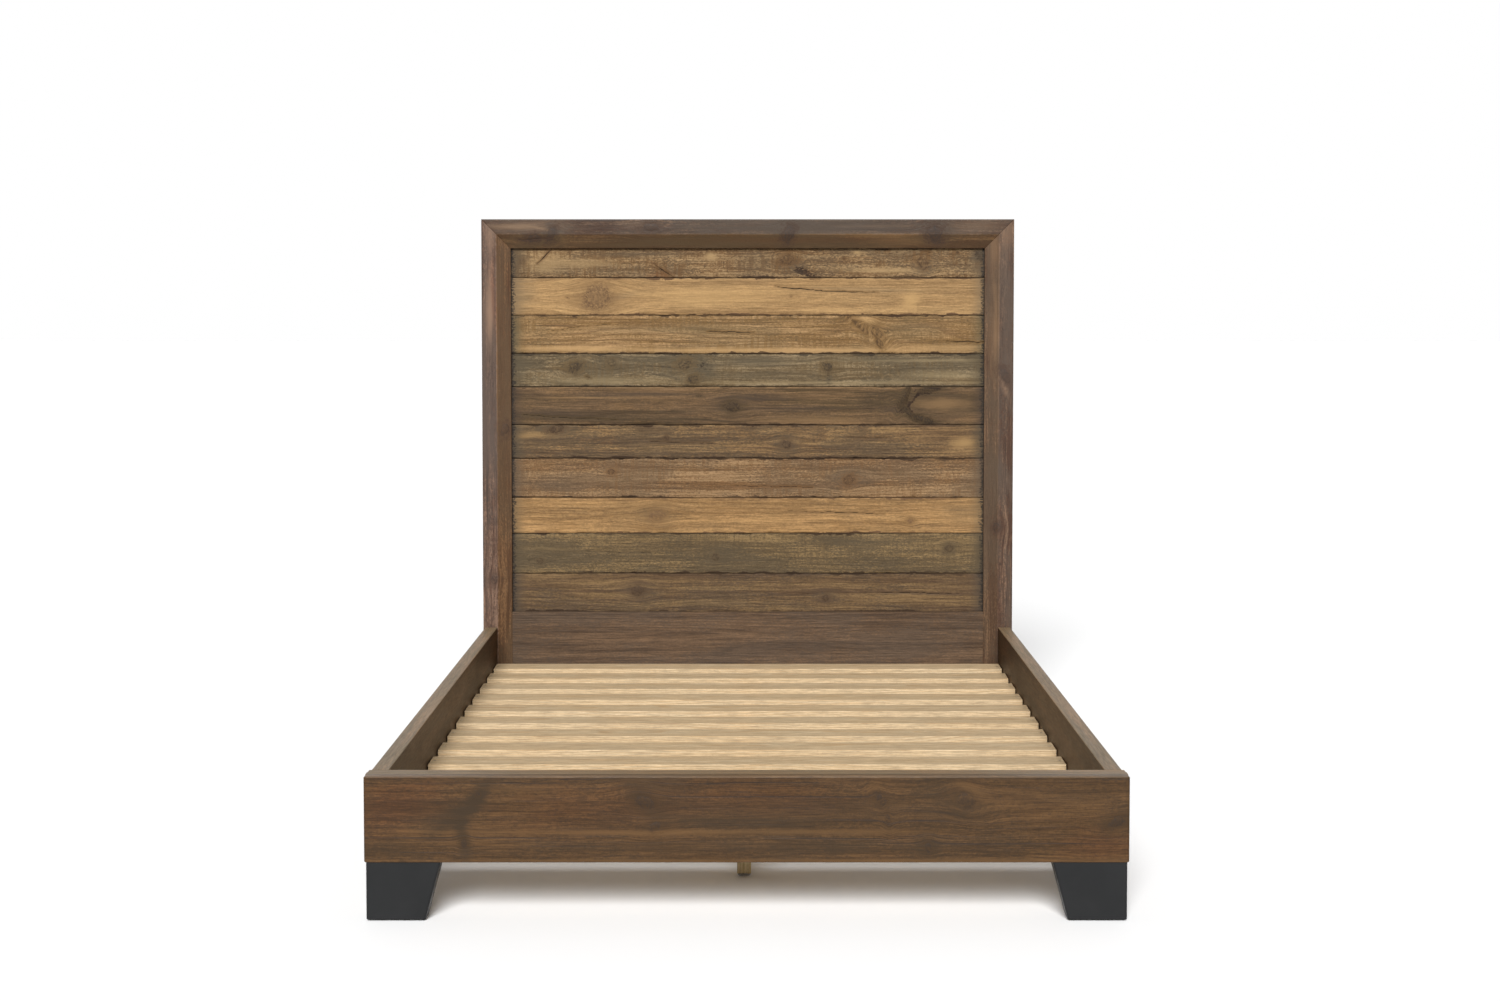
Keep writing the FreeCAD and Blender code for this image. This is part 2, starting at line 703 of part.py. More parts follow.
save("slat_screws", *[screw(short_screw, place, z_axis * -1) for place in slat_screw_places()],
     *[screw(short_screw, place, y_axis * -1) for place in batten_screw_places()])

foot_spots = [(side, y) for side in (-1, 1) for y in (y_foot_middle, y_head_middle)]
bolt_spots = [place for side, y in foot_spots for place in bolt_places(y, side)] + leg_bolt_places()
save("hanger_bolts", *[hanger_bolt(place) for place in bolt_spots])
save("foot_glides", *[nail_glide(place) for side, y in foot_spots for place in nail_glide_places(side, y)])
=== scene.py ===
import math
from functools import partial

import bpy
import numpy as np
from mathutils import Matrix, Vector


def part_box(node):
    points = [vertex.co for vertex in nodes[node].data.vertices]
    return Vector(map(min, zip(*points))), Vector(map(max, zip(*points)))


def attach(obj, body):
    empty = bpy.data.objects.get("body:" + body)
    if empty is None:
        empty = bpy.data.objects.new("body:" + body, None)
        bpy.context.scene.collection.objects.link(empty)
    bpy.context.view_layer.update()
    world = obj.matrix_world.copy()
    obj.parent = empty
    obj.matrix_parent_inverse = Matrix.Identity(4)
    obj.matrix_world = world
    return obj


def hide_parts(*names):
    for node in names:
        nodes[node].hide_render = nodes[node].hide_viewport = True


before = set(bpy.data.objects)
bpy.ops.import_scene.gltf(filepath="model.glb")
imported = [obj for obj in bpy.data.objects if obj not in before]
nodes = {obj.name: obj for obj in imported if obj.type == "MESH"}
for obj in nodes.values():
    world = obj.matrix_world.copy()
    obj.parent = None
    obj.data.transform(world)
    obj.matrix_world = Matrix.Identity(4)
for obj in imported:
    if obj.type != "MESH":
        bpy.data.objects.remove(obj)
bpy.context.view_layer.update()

# Wooden panel bed: rough planks in a mitred frame, stained footboard and rails, painted block feet.
# Metres, X across the bed, Y from the foot end to the headboard, Z up.

print("frame loaded:", len(nodes), "nodes")


def latticeValue(ix, iy, seed):
    # a repeatable value from -1 to 1 for each pair of whole numbers
    h = (ix.astype(np.int64) * 374761393 + iy.astype(np.int64) * 668265263 + seed * 974634777) & 0xFFFFFFFF
    h = ((h ^ (h >> 13)) * 1274126177) & 0xFFFFFFFF
    return ((h ^ (h >> 16)) & 0xFFFFFF) / float(0x7FFFFF) - 1.0


def smoothNoise(x, y, seed):
    # values at whole-number corners, blended by 3t^2 - 2t^3 both ways
    x, y = np.broadcast_arrays(np.asarray(x, float), np.asarray(y, float))
    ix, iy = np.floor(x), np.floor(y)
    tx, ty = x - ix, y - iy
    tx, ty = tx * tx * (3 - 2 * tx), ty * ty * (3 - 2 * ty)
    low = latticeValue(ix, iy, seed) * (1 - tx) + latticeValue(ix + 1, iy, seed) * tx
    high = latticeValue(ix, iy + 1, seed) * (1 - tx) + latticeValue(ix + 1, iy + 1, seed) * tx
    return low * (1 - ty) + high * ty


def layeredNoise(x, y, seed, layers=3):
    # each layer is twice as fine and half as strong as the one before
    total = 0.0
    for i in range(layers):
        total = total + smoothNoise(x * 2 ** i, y * 2 ** i, seed + 31 * i) * 0.5 ** i
    return total / (2 - 0.5 ** (layers - 1))


def softStep(value, low, high):
    t = np.clip((value - low) / (high - low), 0, 1)
    return t * t * (3 - 2 * t)


# A closed outline from (across, depth, radius) corners, in order: each corner is a circular arc
# tangent to its two sides, and each side is cut into pieces no longer than the step given for it.
def roundedOutline(corners, steps):
    points = np.array([c[:2] for c in corners], float)
    parts = []
    count = len(corners)
    ends = []
    for i, (across, depth, radius) in enumerate(corners):
        here = points[i]
        back = points[i - 1] - here
        ahead = points[(i + 1) % count] - here
        back, ahead = back / np.linalg.norm(back), ahead / np.linalg.norm(ahead)
        if radius <= 0:
            ends.append((here[None], here, here))
            continue
        half = math.acos(np.clip(back @ ahead, -1, 1)) / 2
        reach = radius / math.tan(half)
        middle = here + (back + ahead) / np.linalg.norm(back + ahead) * radius / math.sin(half)
        start, stop = here + back * reach, here + ahead * reach
        a0 = math.atan2(*(start - middle)[::-1])
        turn = (math.atan2(*(stop - middle)[::-1]) - a0 + math.pi) % (2 * math.pi) - math.pi
        t = a0 + turn * np.linspace(0, 1, 5)
        ends.append((middle + radius * np.stack([np.cos(t), np.sin(t)], 1), start, stop))
    for i in range(count):
        arc, _, stop = ends[i]
        start = ends[(i + 1) % count][1]
        parts.append(arc)
        pieces = max(1, int(math.ceil(np.linalg.norm(start - stop) / steps[i])))
        t = np.linspace(0, 1, pieces + 1)[1:-1, None]
        parts.append(stop + (start - stop) * t)
    return np.concatenate(parts)


def outlineNormals(outline):
    # across the chord between the two neighbours of each point, pointing out of the section
    chord = np.roll(outline, -1, 0) - np.roll(outline, 1, 0)
    normal = np.stack([chord[:, 1], -chord[:, 0]], 1)
    normal /= np.linalg.norm(normal, axis=1)[:, None] + 1e-12
    area = np.sum(outline[:, 0] * np.roll(outline[:, 1], -1) - np.roll(outline[:, 0], -1) * outline[:, 1])
    return normal if area > 0 else -normal


def makeMesh(name, points, faces, vectors):
    mesh = bpy.data.meshes.new(name)
    mesh.from_pydata(points, [], faces)
    for label, values in vectors.items():
        layer = mesh.attributes.new(label, "FLOAT_VECTOR", "POINT")
        layer.data.foreach_set("vector", np.ascontiguousarray(values, np.float32).ravel())
    mesh.shade_smooth()
    piece = bpy.data.objects.new(name, mesh)
    bpy.context.scene.collection.objects.link(piece)
    return piece


# A section swept along a straight board, with a worked face. Point (i, j) lies at
# along = start(i) + (stop(i) - start(i)) * t(j), where start and stop differ over the section at
# a mitre, and is pushed along the section's outward normal by the height of the face there.
# place turns (along, across, depth) into X, Y, Z.
def board(name, outline, starts, stops, place, look, replaced, endRound=0.0015):
    normals = outlineNormals(outline)
    rows = len(outline)
    length = float(np.max(stops) - np.min(starts))
    columns = int(round(length / look["step"])) + 1
    t = np.linspace(0, 1, columns)
    along = starts[:, None] + (stops - starts)[:, None] * t
    across = np.repeat(outline[:, :1], columns, 1)
    depth = np.repeat(outline[:, 1:], columns, 1)
    low, high = look.get("faceLow", outline[:, 0].min()), look.get("faceHigh", outline[:, 0].max())

    # marks, stains, and the masks for painted shade at the plank ends and a painted highlight on a top edge
    marksAndPaintedLight = faceFields(along, across, low, high, look)
    face = softStep(normals[:, 1], 0.2, 0.9)[:, None]      # 1 where the section faces forwards
    side = 1 - np.abs(normals[:, 1])[:, None]
    fade = softStep(np.minimum(t, 1 - t) * length, 0.0, 0.004) if endRound else np.ones(columns)
    push = marksAndPaintedLight["height"] * face * fade + marksAndPaintedLight["edgeHeight"] * side * fade
    across = across + normals[:, :1] * push
    depth = depth + normals[:, 1:] * push
    if endRound:
        # the last stations shrink towards the middle of the section, which rounds the ends
        nearEnd = np.clip(1 - np.minimum(t, 1 - t) * length / endRound, 0, 1)
        inset = endRound * (1 - np.sqrt(1 - nearEnd ** 2))
        across = across - normals[:, :1] * inset
        depth = depth - normals[:, 1:] * inset

    points = place(along, across, depth).reshape(-1, 3)
    i, j = np.meshgrid(np.arange(rows), np.arange(columns - 1), indexing="ij")
    after = (i + 1) % rows
    quads = np.stack([i * columns + j, i * columns + j + 1,
                      after * columns + j + 1, after * columns + j], -1).reshape(-1, 4)
    caps = [np.arange(rows) * columns, np.arange(rows)[::-1] * columns + columns - 1]
    corner = points[quads[:1, :3].ravel()]
    outwards = np.cross(corner[1] - corner[0], corner[2] - corner[0])
    ahead = place(np.zeros(1), normals[:1, 0], normals[:1, 1]).ravel() - place(
        np.zeros(1), np.zeros(1), np.zeros(1)).ravel()
    if outwards @ ahead < 0:
        quads, caps = quads[:, ::-1], [cap[::-1] for cap in caps]
    faces = quads.tolist() + [cap.tolist() for cap in caps]
    grain = np.stack([along + look["seed"] * 3.7, marksAndPaintedLight["flow"], depth], -1).reshape(-1, 3)
    near = np.stack([marksAndPaintedLight["crack"], marksAndPaintedLight["knot"], marksAndPaintedLight["edge"]], -1).reshape(-1, 3)
    stain = np.stack([marksAndPaintedLight["dark"], marksAndPaintedLight["pale"], marksAndPaintedLight["red"]], -1).reshape(-1, 3)
    extra = np.stack([marksAndPaintedLight["strength"], marksAndPaintedLight["ends"], marksAndPaintedLight["tintAndHighlightMask"]], -1).reshape(-1, 3)
    piece = makeMesh(name, points, faces, {"grain": grain, "near": near, "stain": stain, "extra": extra})
    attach(piece, "frame")
    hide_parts(replaced)
    return piece


def turned(along, across, x, y, lean):
    # offsets from (x, y), and the same offsets in axes turned by lean
    dx, dy = along - x, across - y
    return (dx, dy, dx * math.cos(lean) + dy * math.sin(lean), dy * math.cos(lean) - dx * math.sin(lean))


# Height, grain flow, distances and stains over a board's face. Knots are ellipses (along, share
# across, half length, half width, lean, rise, strength), and grain flows round one because the
# across coordinate is pushed away from its middle by a bell curve. Cracks are straight runs
# (along, share, along, share, half width) with a noisy line. Stains are bell-shaped patches
# (along, share, half length, half width, lean, strength) with a ragged outline.
def faceFields(along, across, low, high, look):
    seed = look["seed"]
    width = high - low
    flow = across + 0.0045 * layeredNoise(along * 2.1, across * 9, seed + 5)
    knot = np.full(along.shape, 4.0)
    strength = np.zeros(along.shape)
    height = look["swell"] * layeredNoise(along * 9, across * 26, seed + 1)
    height = height + look["rough"] * layeredNoise(along * 60, across * 220, seed + 2)
    for k, (x, share, a, b, lean, rise, amount) in enumerate(look.get("knots", ())):
        dx, dy, u, v = turned(along, across, x, low + width * share, lean)
        ragged = 1 + 0.34 * layeredNoise(dx * 70 + 7 * k, dy * 80, seed + 11)
        ratio = np.sqrt((u / a) ** 2 + (v / b) ** 2) * ragged
        strength = np.where(ratio < knot, amount, strength)
        knot = np.minimum(knot, ratio)
        flow = flow - dy * 0.7 * np.exp(-((u / (2.8 * a)) ** 2 + (v / (2.4 * b)) ** 2))
        height = height + rise * np.exp(-ratio ** 2) - 0.0004 * np.exp(-((ratio - 1) / 0.18) ** 2)
    crack = np.full(along.shape, 0.05)
    for k, (x0, s0, x1, s1, half) in enumerate(look.get("cracks", ())):
        y0, y1 = low + width * s0, low + width * s1
        run = np.array([x1 - x0, y1 - y0])
        size = np.hypot(*run)
        t = np.clip(((along - x0) * run[0] + (across - y0) * run[1]) / size ** 2, 0, 1)
        wobble = 0.0038 * layeredNoise(t * size * 38, 0.5 + k, seed + 40)
        gap = np.hypot(along - x0 - run[0] * t, across - y0 - run[1] * t + wobble)
        openness = half * (0.35 + 0.65 * np.sin(math.pi * np.clip(t, 0.04, 0.96)))
        crack = np.minimum(crack, gap - openness)
        height = height - 0.0011 * np.exp(-(gap / (openness + 0.0012)) ** 2)
    whichEdge = np.where(across - low < width / 2, 1.0, 9.0)
    edge = np.minimum(across - low, high - across)
    ragged = look.get("ragged", 0.0)
    if ragged:
        chip = softStep(layeredNoise(along * 12, whichEdge, seed + 60), 0.0, 0.7)
        fine = layeredNoise(along * 75, whichEdge + 2, seed + 61)
        reach = 0.0012 + 0.0060 * chip
        height = height - ragged * (0.35 + chip + 0.4 * fine) * np.exp(-(edge / reach) ** 2)
        edge = edge - 0.0032 * layeredNoise(along * 20, whichEdge + 5, seed + 62)
    fields = {kind: np.zeros(along.shape) for kind in ("dark", "pale", "red", "burn")}
    for kind in fields:
        for x, share, a, b, lean, amount in look.get(kind + "Stains", ()):
            dx, dy, u, v = turned(along, across, x, low + width * share, lean)
            torn = 1 + 0.7 * layeredNoise(dx * 26, dy * 90, seed + 70, 4)
            fields[kind] += amount * np.exp(-(((u / a) ** 2 + (v / b) ** 2) * torn) ** 1.3)
    # distance in from the stiles' edge, which the finish turns into painted shade at the plank ends
    ends = np.maximum(look.get("endAt", 9.0) - np.abs(along), 0.0)
    # the tint mask: the frame's bevel, the top edge of the footboard, where the tint is a painted
    # highlight, or the burnt stains
    tintAndHighlightMask = softStep(across, *look["tintAndHighlightAt"]) if "tintAndHighlightAt" in look else fields["burn"]
    edgeHeight = -ragged * 0.6 * (0.6 + layeredNoise(along * 22, across * 3, seed + 80))
    return {"height": height, "edgeHeight": edgeHeight, "flow": flow, "knot": knot, "strength": strength,
            "crack": crack, "edge": edge, "ends": ends, "tintAndHighlightMask": tintAndHighlightMask, **fields}


def newGroup(name, inputs, outputs):
    tree = bpy.data.node_groups.new(name, "ShaderNodeTree")
    kinds = {"v": "NodeSocketVector", "f": "NodeSocketFloat", "c": "NodeSocketColor"}
    for label, kind, value in inputs:
        socket = tree.interface.new_socket(name=label, in_out="INPUT", socket_type=kinds[kind])
        if value is not None:
            socket.default_value = value
    for label, kind in outputs:
        tree.interface.new_socket(name=label, in_out="OUTPUT", socket_type=kinds[kind])
    return tree, tree.nodes.new("NodeGroupInput"), tree.nodes.new("NodeGroupOutput")


def plug(tree, value, socket):
    if isinstance(value, bpy.types.NodeSocket):
        tree.links.new(value, socket)
    elif value is not None:
        if socket.type == "RGBA" and len(value) == 3:
            value = (*value, 1.0)
        socket.default_value = value


def maths(tree, operation, a, b=None, c=None, clamp=False):
    node = tree.nodes.new("ShaderNodeMath")
    node.operation = operation
    node.use_clamp = clamp
    for value, socket in zip((a, b, c), node.inputs):
        plug(tree, value, socket)
    return node.outputs[0]


def vectorMaths(tree, operation, a, b=None):
    node = tree.nodes.new("ShaderNodeVectorMath")
    node.operation = operation
    plug(tree, a, node.inputs[0])
    plug(tree, b, node.inputs[1])
    return node.outputs["Value"] if operation in ("LENGTH", "DISTANCE", "DOT_PRODUCT") else node.outputs[0]


def noise(tree, vector, scale, stretch=(1, 1, 1), detail=2.0, rough=0.5, colour=False):
    stretched = vectorMaths(tree, "MULTIPLY", vector, stretch)
    node = tree.nodes.new("ShaderNodeTexNoise")
    plug(tree, stretched, node.inputs["Vector"])
    plug(tree, scale, node.inputs["Scale"])
    node.inputs["Detail"].default_value = detail
    node.inputs["Roughness"].default_value = rough
    return node.outputs["Color" if colour else "Fac"]


def remap(tree, value, low, high, toLow=0.0, toHigh=1.0, smooth=True):
    node = tree.nodes.new("ShaderNodeMapRange")
    node.interpolation_type = "SMOOTHSTEP" if smooth else "LINEAR"
    node.clamp = True
    for item, socket in zip((value, low, high, toLow, toHigh), node.inputs):
        plug(tree, item, socket)
    return node.outputs["Result"]


def splitVector(tree, vector):
    node = tree.nodes.new("ShaderNodeSeparateXYZ")
    tree.links.new(vector, node.inputs[0])
    return node.outputs[0], node.outputs[1], node.outputs[2]


def blendColour(tree, share, a, b, mode="MIX"):
    node = tree.nodes.new("ShaderNodeMix")
    node.data_type = "RGBA"
    node.blend_type = mode
    node.clamp_factor = True
    plug(tree, share, node.inputs["Factor"])
    plug(tree, a, node.inputs["A"])
    plug(tree, b, node.inputs["B"])
    return node.outputs["Result"]


# Growth rings round a pith line, fibres, streaks, thin lines, clouds, specks and saw scores.
def buildPineFigure():
    tree, given, result = newGroup(
        "pineFigure",
        [("Grain", "v", None), ("Pith", "v", (0.0, 0.03, -0.09)), ("Ring Width", "f", 0.005)],
        [("Late", "f"), ("Fibre", "f"), ("Streak", "f"), ("Line", "f"), ("Band", "f"), ("Cloud", "f"),
         ("Mottle", "f"), ("Speck", "f"), ("Score", "f")])
    calc, ramp, vector = (partial(helper, tree) for helper in (maths, remap, vectorMaths))
    grain = given.outputs["Grain"]
    send = lambda value, label: tree.links.new(value, result.inputs[label])
    wander = noise(tree, grain, 1.0, (1.3, 7, 7), 2.0, 0.5, colour=True)
    wander = vector("SUBTRACT", wander, (0.5, 0.5, 0.5))
    wander = vector("MULTIPLY", wander, (0.0, 0.05, 0.05))
    bent = vector("ADD", grain, wander)
    fromPith = vector("SUBTRACT", bent, given.outputs["Pith"])
    fromPith = vector("MULTIPLY", fromPith, (0, 1, 1))
    radius = vector("LENGTH", fromPith)
    rings = calc("DIVIDE", radius, given.outputs["Ring Width"])
    uneven = noise(tree, grain, 1.0, (1.5, 30, 30), 2.0)
    rings = calc("MULTIPLY_ADD", uneven, 1.6, rings)
    phase = calc("FRACT", rings)
    late = ramp(phase, 0.35, 0.9)
    fall = ramp(phase, 0.92, 1.0, 1.0, 0.0)
    send(calc("MULTIPLY", late, fall), "Late")
    send(noise(tree, grain, 1.0, (20, 420, 420), 3.0, 0.65), "Fibre")
    send(noise(tree, grain, 1.0, (3.4, 150, 150), 4.0, 0.65), "Streak")
    send(ramp(noise(tree, grain, 1.0, (2.2, 210, 210), 2.0, 0.55), 0.60, 0.72), "Line")
    send(noise(tree, grain, 1.0, (1.1, 34, 34), 3.0, 0.6), "Band")
    send(noise(tree, grain, 1.0, (3.2, 10, 10), 3.0, 0.6), "Cloud")
    send(noise(tree, grain, 1.0, (110, 250, 250), 3.0, 0.7), "Mottle")
    send(ramp(noise(tree, grain, 1.0, (170, 250, 250), 1.0), 0.62, 0.70), "Speck")
    # saw scores: upright lines that come and go along the board
    fine = noise(tree, grain, 1.0, (115, 10, 10), 3.0, 0.7)
    patch = noise(tree, grain, 1.0, (4.5, 26, 26), 2.0, 0.6)
    send(calc("MULTIPLY", ramp(fine, 0.46, 0.60), ramp(patch, 0.42, 0.56)), "Score")
    return tree


# The colour, roughness and relief of a stained or weathered board, from its figure and its marks.
def buildBoardFinish(figure):
    tree, given, result = newGroup(
        "boardFinish",
        [("Grain", "v", None), ("Near", "v", (0.05, 4.0, 0.05)), ("Stain", "v", (0, 0, 0)),
         ("Extra", "v", (0, 9, 0)), ("Pith", "v", (0.0, 0.03, -0.09)), ("Ring Width", "f", 0.005),
         ("Light", "c", (0.4, 0.25, 0.12, 1)), ("Dark", "c", (0.2, 0.12, 0.06, 1)),
         ("Late Wood", "c", (0.2, 0.1, 0.04, 1)), ("Grey", "c", (0.12, 0.11, 0.09, 1)),
         ("Knot", "c", (0.05, 0.025, 0.015, 1)), ("Tint And Highlight", "c", (1.0, 0.8, 0.6, 1)),
         ("Late Share", "f", 0.35), ("Band Share", "f", 0.5), ("Streak Share", "f", 0.5),
         ("Line Share", "f", 0.4), ("Mottle Share", "f", 0.4), ("Grey Share", "f", 0.3),
         ("Score Share", "f", 0.4), ("Edge Dirt And Shade", "f", 0.6), ("Edge Reach", "f", 0.004),
         ("End Shade", "f", 0.0), ("Sheen Low", "f", 0.45), ("Sheen High", "f", 0.65)],
        [("Color", "c"), ("Roughness", "f"), ("Height", "f")])
    calc, ramp, mix = (partial(helper, tree) for helper in (maths, remap, blendColour))
    take = given.outputs
    lines = tree.nodes.new("ShaderNodeGroup")
    lines.node_tree = figure
    for label in ("Grain", "Pith", "Ring Width"):
        tree.links.new(take[label], lines.inputs[label])
    seen = lines.outputs
    crackGap, knotRatio, edgeGap = splitVector(tree, take["Near"])
    darkStain, paleStainAndHighlight, redStain = splitVector(tree, take["Stain"])
    knotStrength, endGap, tintAndHighlightMask = splitVector(tree, take["Extra"])
    share = lambda value, label: calc("MULTIPLY", value, take[label])

    # tone runs from the light colour to the dark one
    tone = share(ramp(seen["Band"], 0.40, 0.60), "Band Share")
    tone = calc("ADD", tone, share(ramp(seen["Streak"], 0.42, 0.60), "Streak Share"))
    mottle = ramp(seen["Mottle"], 0.37, 0.63, -0.7, 0.7, smooth=False)
    tone = calc("ADD", tone, share(mottle, "Mottle Share"), clamp=True)
    colour = mix(tone, take["Light"], take["Dark"])
    colour = mix(share(seen["Late"], "Late Share"), colour, take["Late Wood"])
    grey = ramp(calc("MULTIPLY_ADD", mottle, 0.10, seen["Cloud"]), 0.45, 0.58)
    colour = mix(share(grey, "Grey Share"), colour, take["Grey"])
    colour = mix(share(seen["Line"], "Line Share"), colour, take["Knot"])
    fibre = ramp(seen["Fibre"], 0.36, 0.64, 1.26, 0.74, smooth=False)
    colour = mix(1.0, colour, fibre, "MULTIPLY")
    score = share(seen["Score"], "Score Share")
    # saw scores are drawn darker: painted shade in the kerfs
    colour = mix(calc("MULTIPLY", score, 0.75), colour, take["Dark"])
    speck = calc("MULTIPLY", share(seen["Speck"], "Mottle Share"), 0.8)
    colour = mix(speck, colour, take["Knot"])

    # stains, raggedly broken up by the streaks
    broken = ramp(seen["Streak"], 0.30, 0.62, 0.45, 1.25, smooth=False)
    bright = mix(1.0, take["Light"], (1.15, 1.17, 1.14), "MULTIPLY")
    # pale stains; on plank five one is a painted highlight along the top edge
    colour = mix(paleStainAndHighlight, colour, bright)
    colour = mix(calc("MULTIPLY", darkStain, broken), colour, take["Grey"])
    reddish = mix(1.0, colour, (1.15, 0.80, 0.62), "MULTIPLY")
    colour = mix(redStain, colour, reddish)
    # the tint's mask is the frame's bevel, a burnt-looking patch of stain with torn edges, or the top edge
    # of the footboard and the rails, where the tint is a painted highlight and grey sheen from the light
    # above
    tinted = mix(0.3, colour, take["Grey"])
    tinted = mix(1.0, tinted, take["Tint And Highlight"], "MULTIPLY")
    torn = calc("MULTIPLY_ADD", mottle, 0.35, tintAndHighlightMask)
    colour = mix(ramp(torn, 0.22, 0.62), colour, tinted)

    # knots: a mottled core, a broken dark rim and a darker halo
    ragged = calc("MULTIPLY_ADD", mottle, 0.6, 1.0)
    ratio = calc("MULTIPLY", knotRatio, ragged)
    halo = calc("MULTIPLY", ramp(ratio, 0.9, 2.4, 0.85, 0.0), knotStrength)
    colour = mix(halo, colour, take["Dark"])
    rings = ramp(calc("FRACT", calc("MULTIPLY", ratio, 2.6)), 0.1, 0.8, 0.45, 1.0)
    freckle = calc("MULTIPLY_ADD", mottle, 0.9, 0.75, clamp=True)
    core = ramp(ratio, 0.75, 1.15, 0.8, 0.0)
    core = calc("MULTIPLY", core, calc("MULTIPLY", rings, freckle))
    colour = mix(calc("MULTIPLY", core, knotStrength), colour, take["Knot"])
    rim = ramp(calc("ABSOLUTE", calc("SUBTRACT", ratio, 0.95)), 0.0, 0.2, 1.0, 0.0)
    rim = calc("MULTIPLY", rim, ramp(seen["Mottle"], 0.40, 0.56, 0.3, 1.0))
    rim = calc("MULTIPLY", rim, knotStrength)
    colour = mix(rim, colour, take["Knot"])

    # dirt along the joints between planks, a painted shadow line along the edge under the top rail, and
    # painted shade at the plank ends
    dirtAndShadeNoise = noise(tree, take["Grain"], 1.0, (26, 60, 60), 3.0, 0.6)
    reach = calc("MULTIPLY", take["Edge Reach"], ramp(dirtAndShadeNoise, 0.42, 0.70, 0.1, 3.6))
    edgeDirtAndShade = ramp(calc("SUBTRACT", edgeGap, reach), 0.0, take["Edge Reach"], 1.0, 0.0)
    edgeDirtAndShade = calc("MULTIPLY", edgeDirtAndShade, ramp(seen["Cloud"], 0.38, 0.56, 0.45, 1.0))
    edgeDirtAndShade = share(edgeDirtAndShade, "Edge Dirt And Shade")
    colour = mix(edgeDirtAndShade, colour, take["Knot"])
    # painted shade where the planks run into the stiles: greyer near the ends, nearly black at them
    ends = calc("MULTIPLY_ADD", mottle, 0.012, endGap)
    nearEnds = share(ramp(ends, 0.0, 0.05, 0.75, 0.0), "End Shade")
    colour = mix(nearEnds, colour, take["Grey"])
    atEnds = share(ramp(ends, 0.001, 0.013, 0.95, 0.0), "End Shade")
    colour = mix(atEnds, colour, (0.02, 0.016, 0.013))
    crack = ramp(crackGap, -0.0002, 0.0011, 1.0, 0.0)
    crackStain = ramp(crackGap, 0.0, 0.008, 0.7, 0.0)
    colour = mix(crackStain, colour, take["Dark"])
    colour = mix(crack, colour, (0.012, 0.008, 0.005))

    sheen = calc("MULTIPLY", seen["Cloud"], 0.5)
    sheen = calc("ADD", calc("MULTIPLY", seen["Fibre"], 0.5), sheen)
    rough = ramp(sheen, 0.3, 0.7, take["Sheen Low"], take["Sheen High"], smooth=False)
    rough = calc("MULTIPLY_ADD", edgeDirtAndShade, 0.2, rough, clamp=True)

    relief = calc("MULTIPLY", seen["Late"], 0.35)
    for mark, rise in ((seen["Fibre"], 0.9), (share(seen["Mottle"], "Mottle Share"), 2.4), (score, -1.6),
                       (share(seen["Line"], "Line Share"), -1.2), (crack, -2.5), (rim, -0.8)):
        relief = calc("MULTIPLY_ADD", mark, rise, relief)
    tree.links.new(colour, result.inputs["Color"])
    tree.links.new(rough, result.inputs["Roughness"])
    tree.links.new(relief, result.inputs["Height"])
    return tree


pineFigure = buildPineFigure()
boardFinish = buildBoardFinish(pineFigure)


def principledMaterial(name, **values):
    material = bpy.data.materials.new(name)
    material.use_nodes = True
    tree = material.node_tree
    shader = tree.nodes["Principled BSDF"]
    for label, value in values.items():
        plug(tree, value, shader.inputs[label.replace("_", " ")])
    return material, tree, shader


def bumped(tree, height, shader, strength, distance):
    bump = tree.nodes.new("ShaderNodeBump")
    bump.inputs["Strength"].default_value = strength
    bump.inputs["Distance"].default_value = distance
    tree.links.new(height, bump.inputs["Height"])
    tree.links.new(bump.outputs["Normal"], shader.inputs["Normal"])


def readAttribute(tree, label):
    node = tree.nodes.new("ShaderNodeAttribute")
    node.attribute_name = label
    return node.outputs["Vector"]


def finishNode(tree, shader, settings, relief):
    group = tree.nodes.new("ShaderNodeGroup")
    group.node_tree = boardFinish
    for label, value in settings.items():
        plug(tree, value, group.inputs[label])
    tree.links.new(group.outputs["Color"], shader.inputs["Base Color"])
    tree.links.new(group.outputs["Roughness"], shader.inputs["Roughness"])
    bumped(tree, group.outputs["Height"], shader, relief, 0.0006)
    return group


def woodMaterial(name, settings, relief, specular):
    material, tree, shader = principledMaterial(name, Specular_IOR_Level=specular)
    return material, tree, finishNode(tree, shader, settings, relief)


# Wood for a worked board: it reads the grain, the marks and the stains laid on the mesh.
def boardMaterial(name, settings, relief, specular=0.12):
    material, tree, group = woodMaterial(name, settings, relief, specular)
    for label, socket in (("grain", "Grain"), ("near", "Near"), ("stain", "Stain"), ("extra", "Extra")):
        tree.links.new(readAttribute(tree, label), group.inputs[socket])
    return material


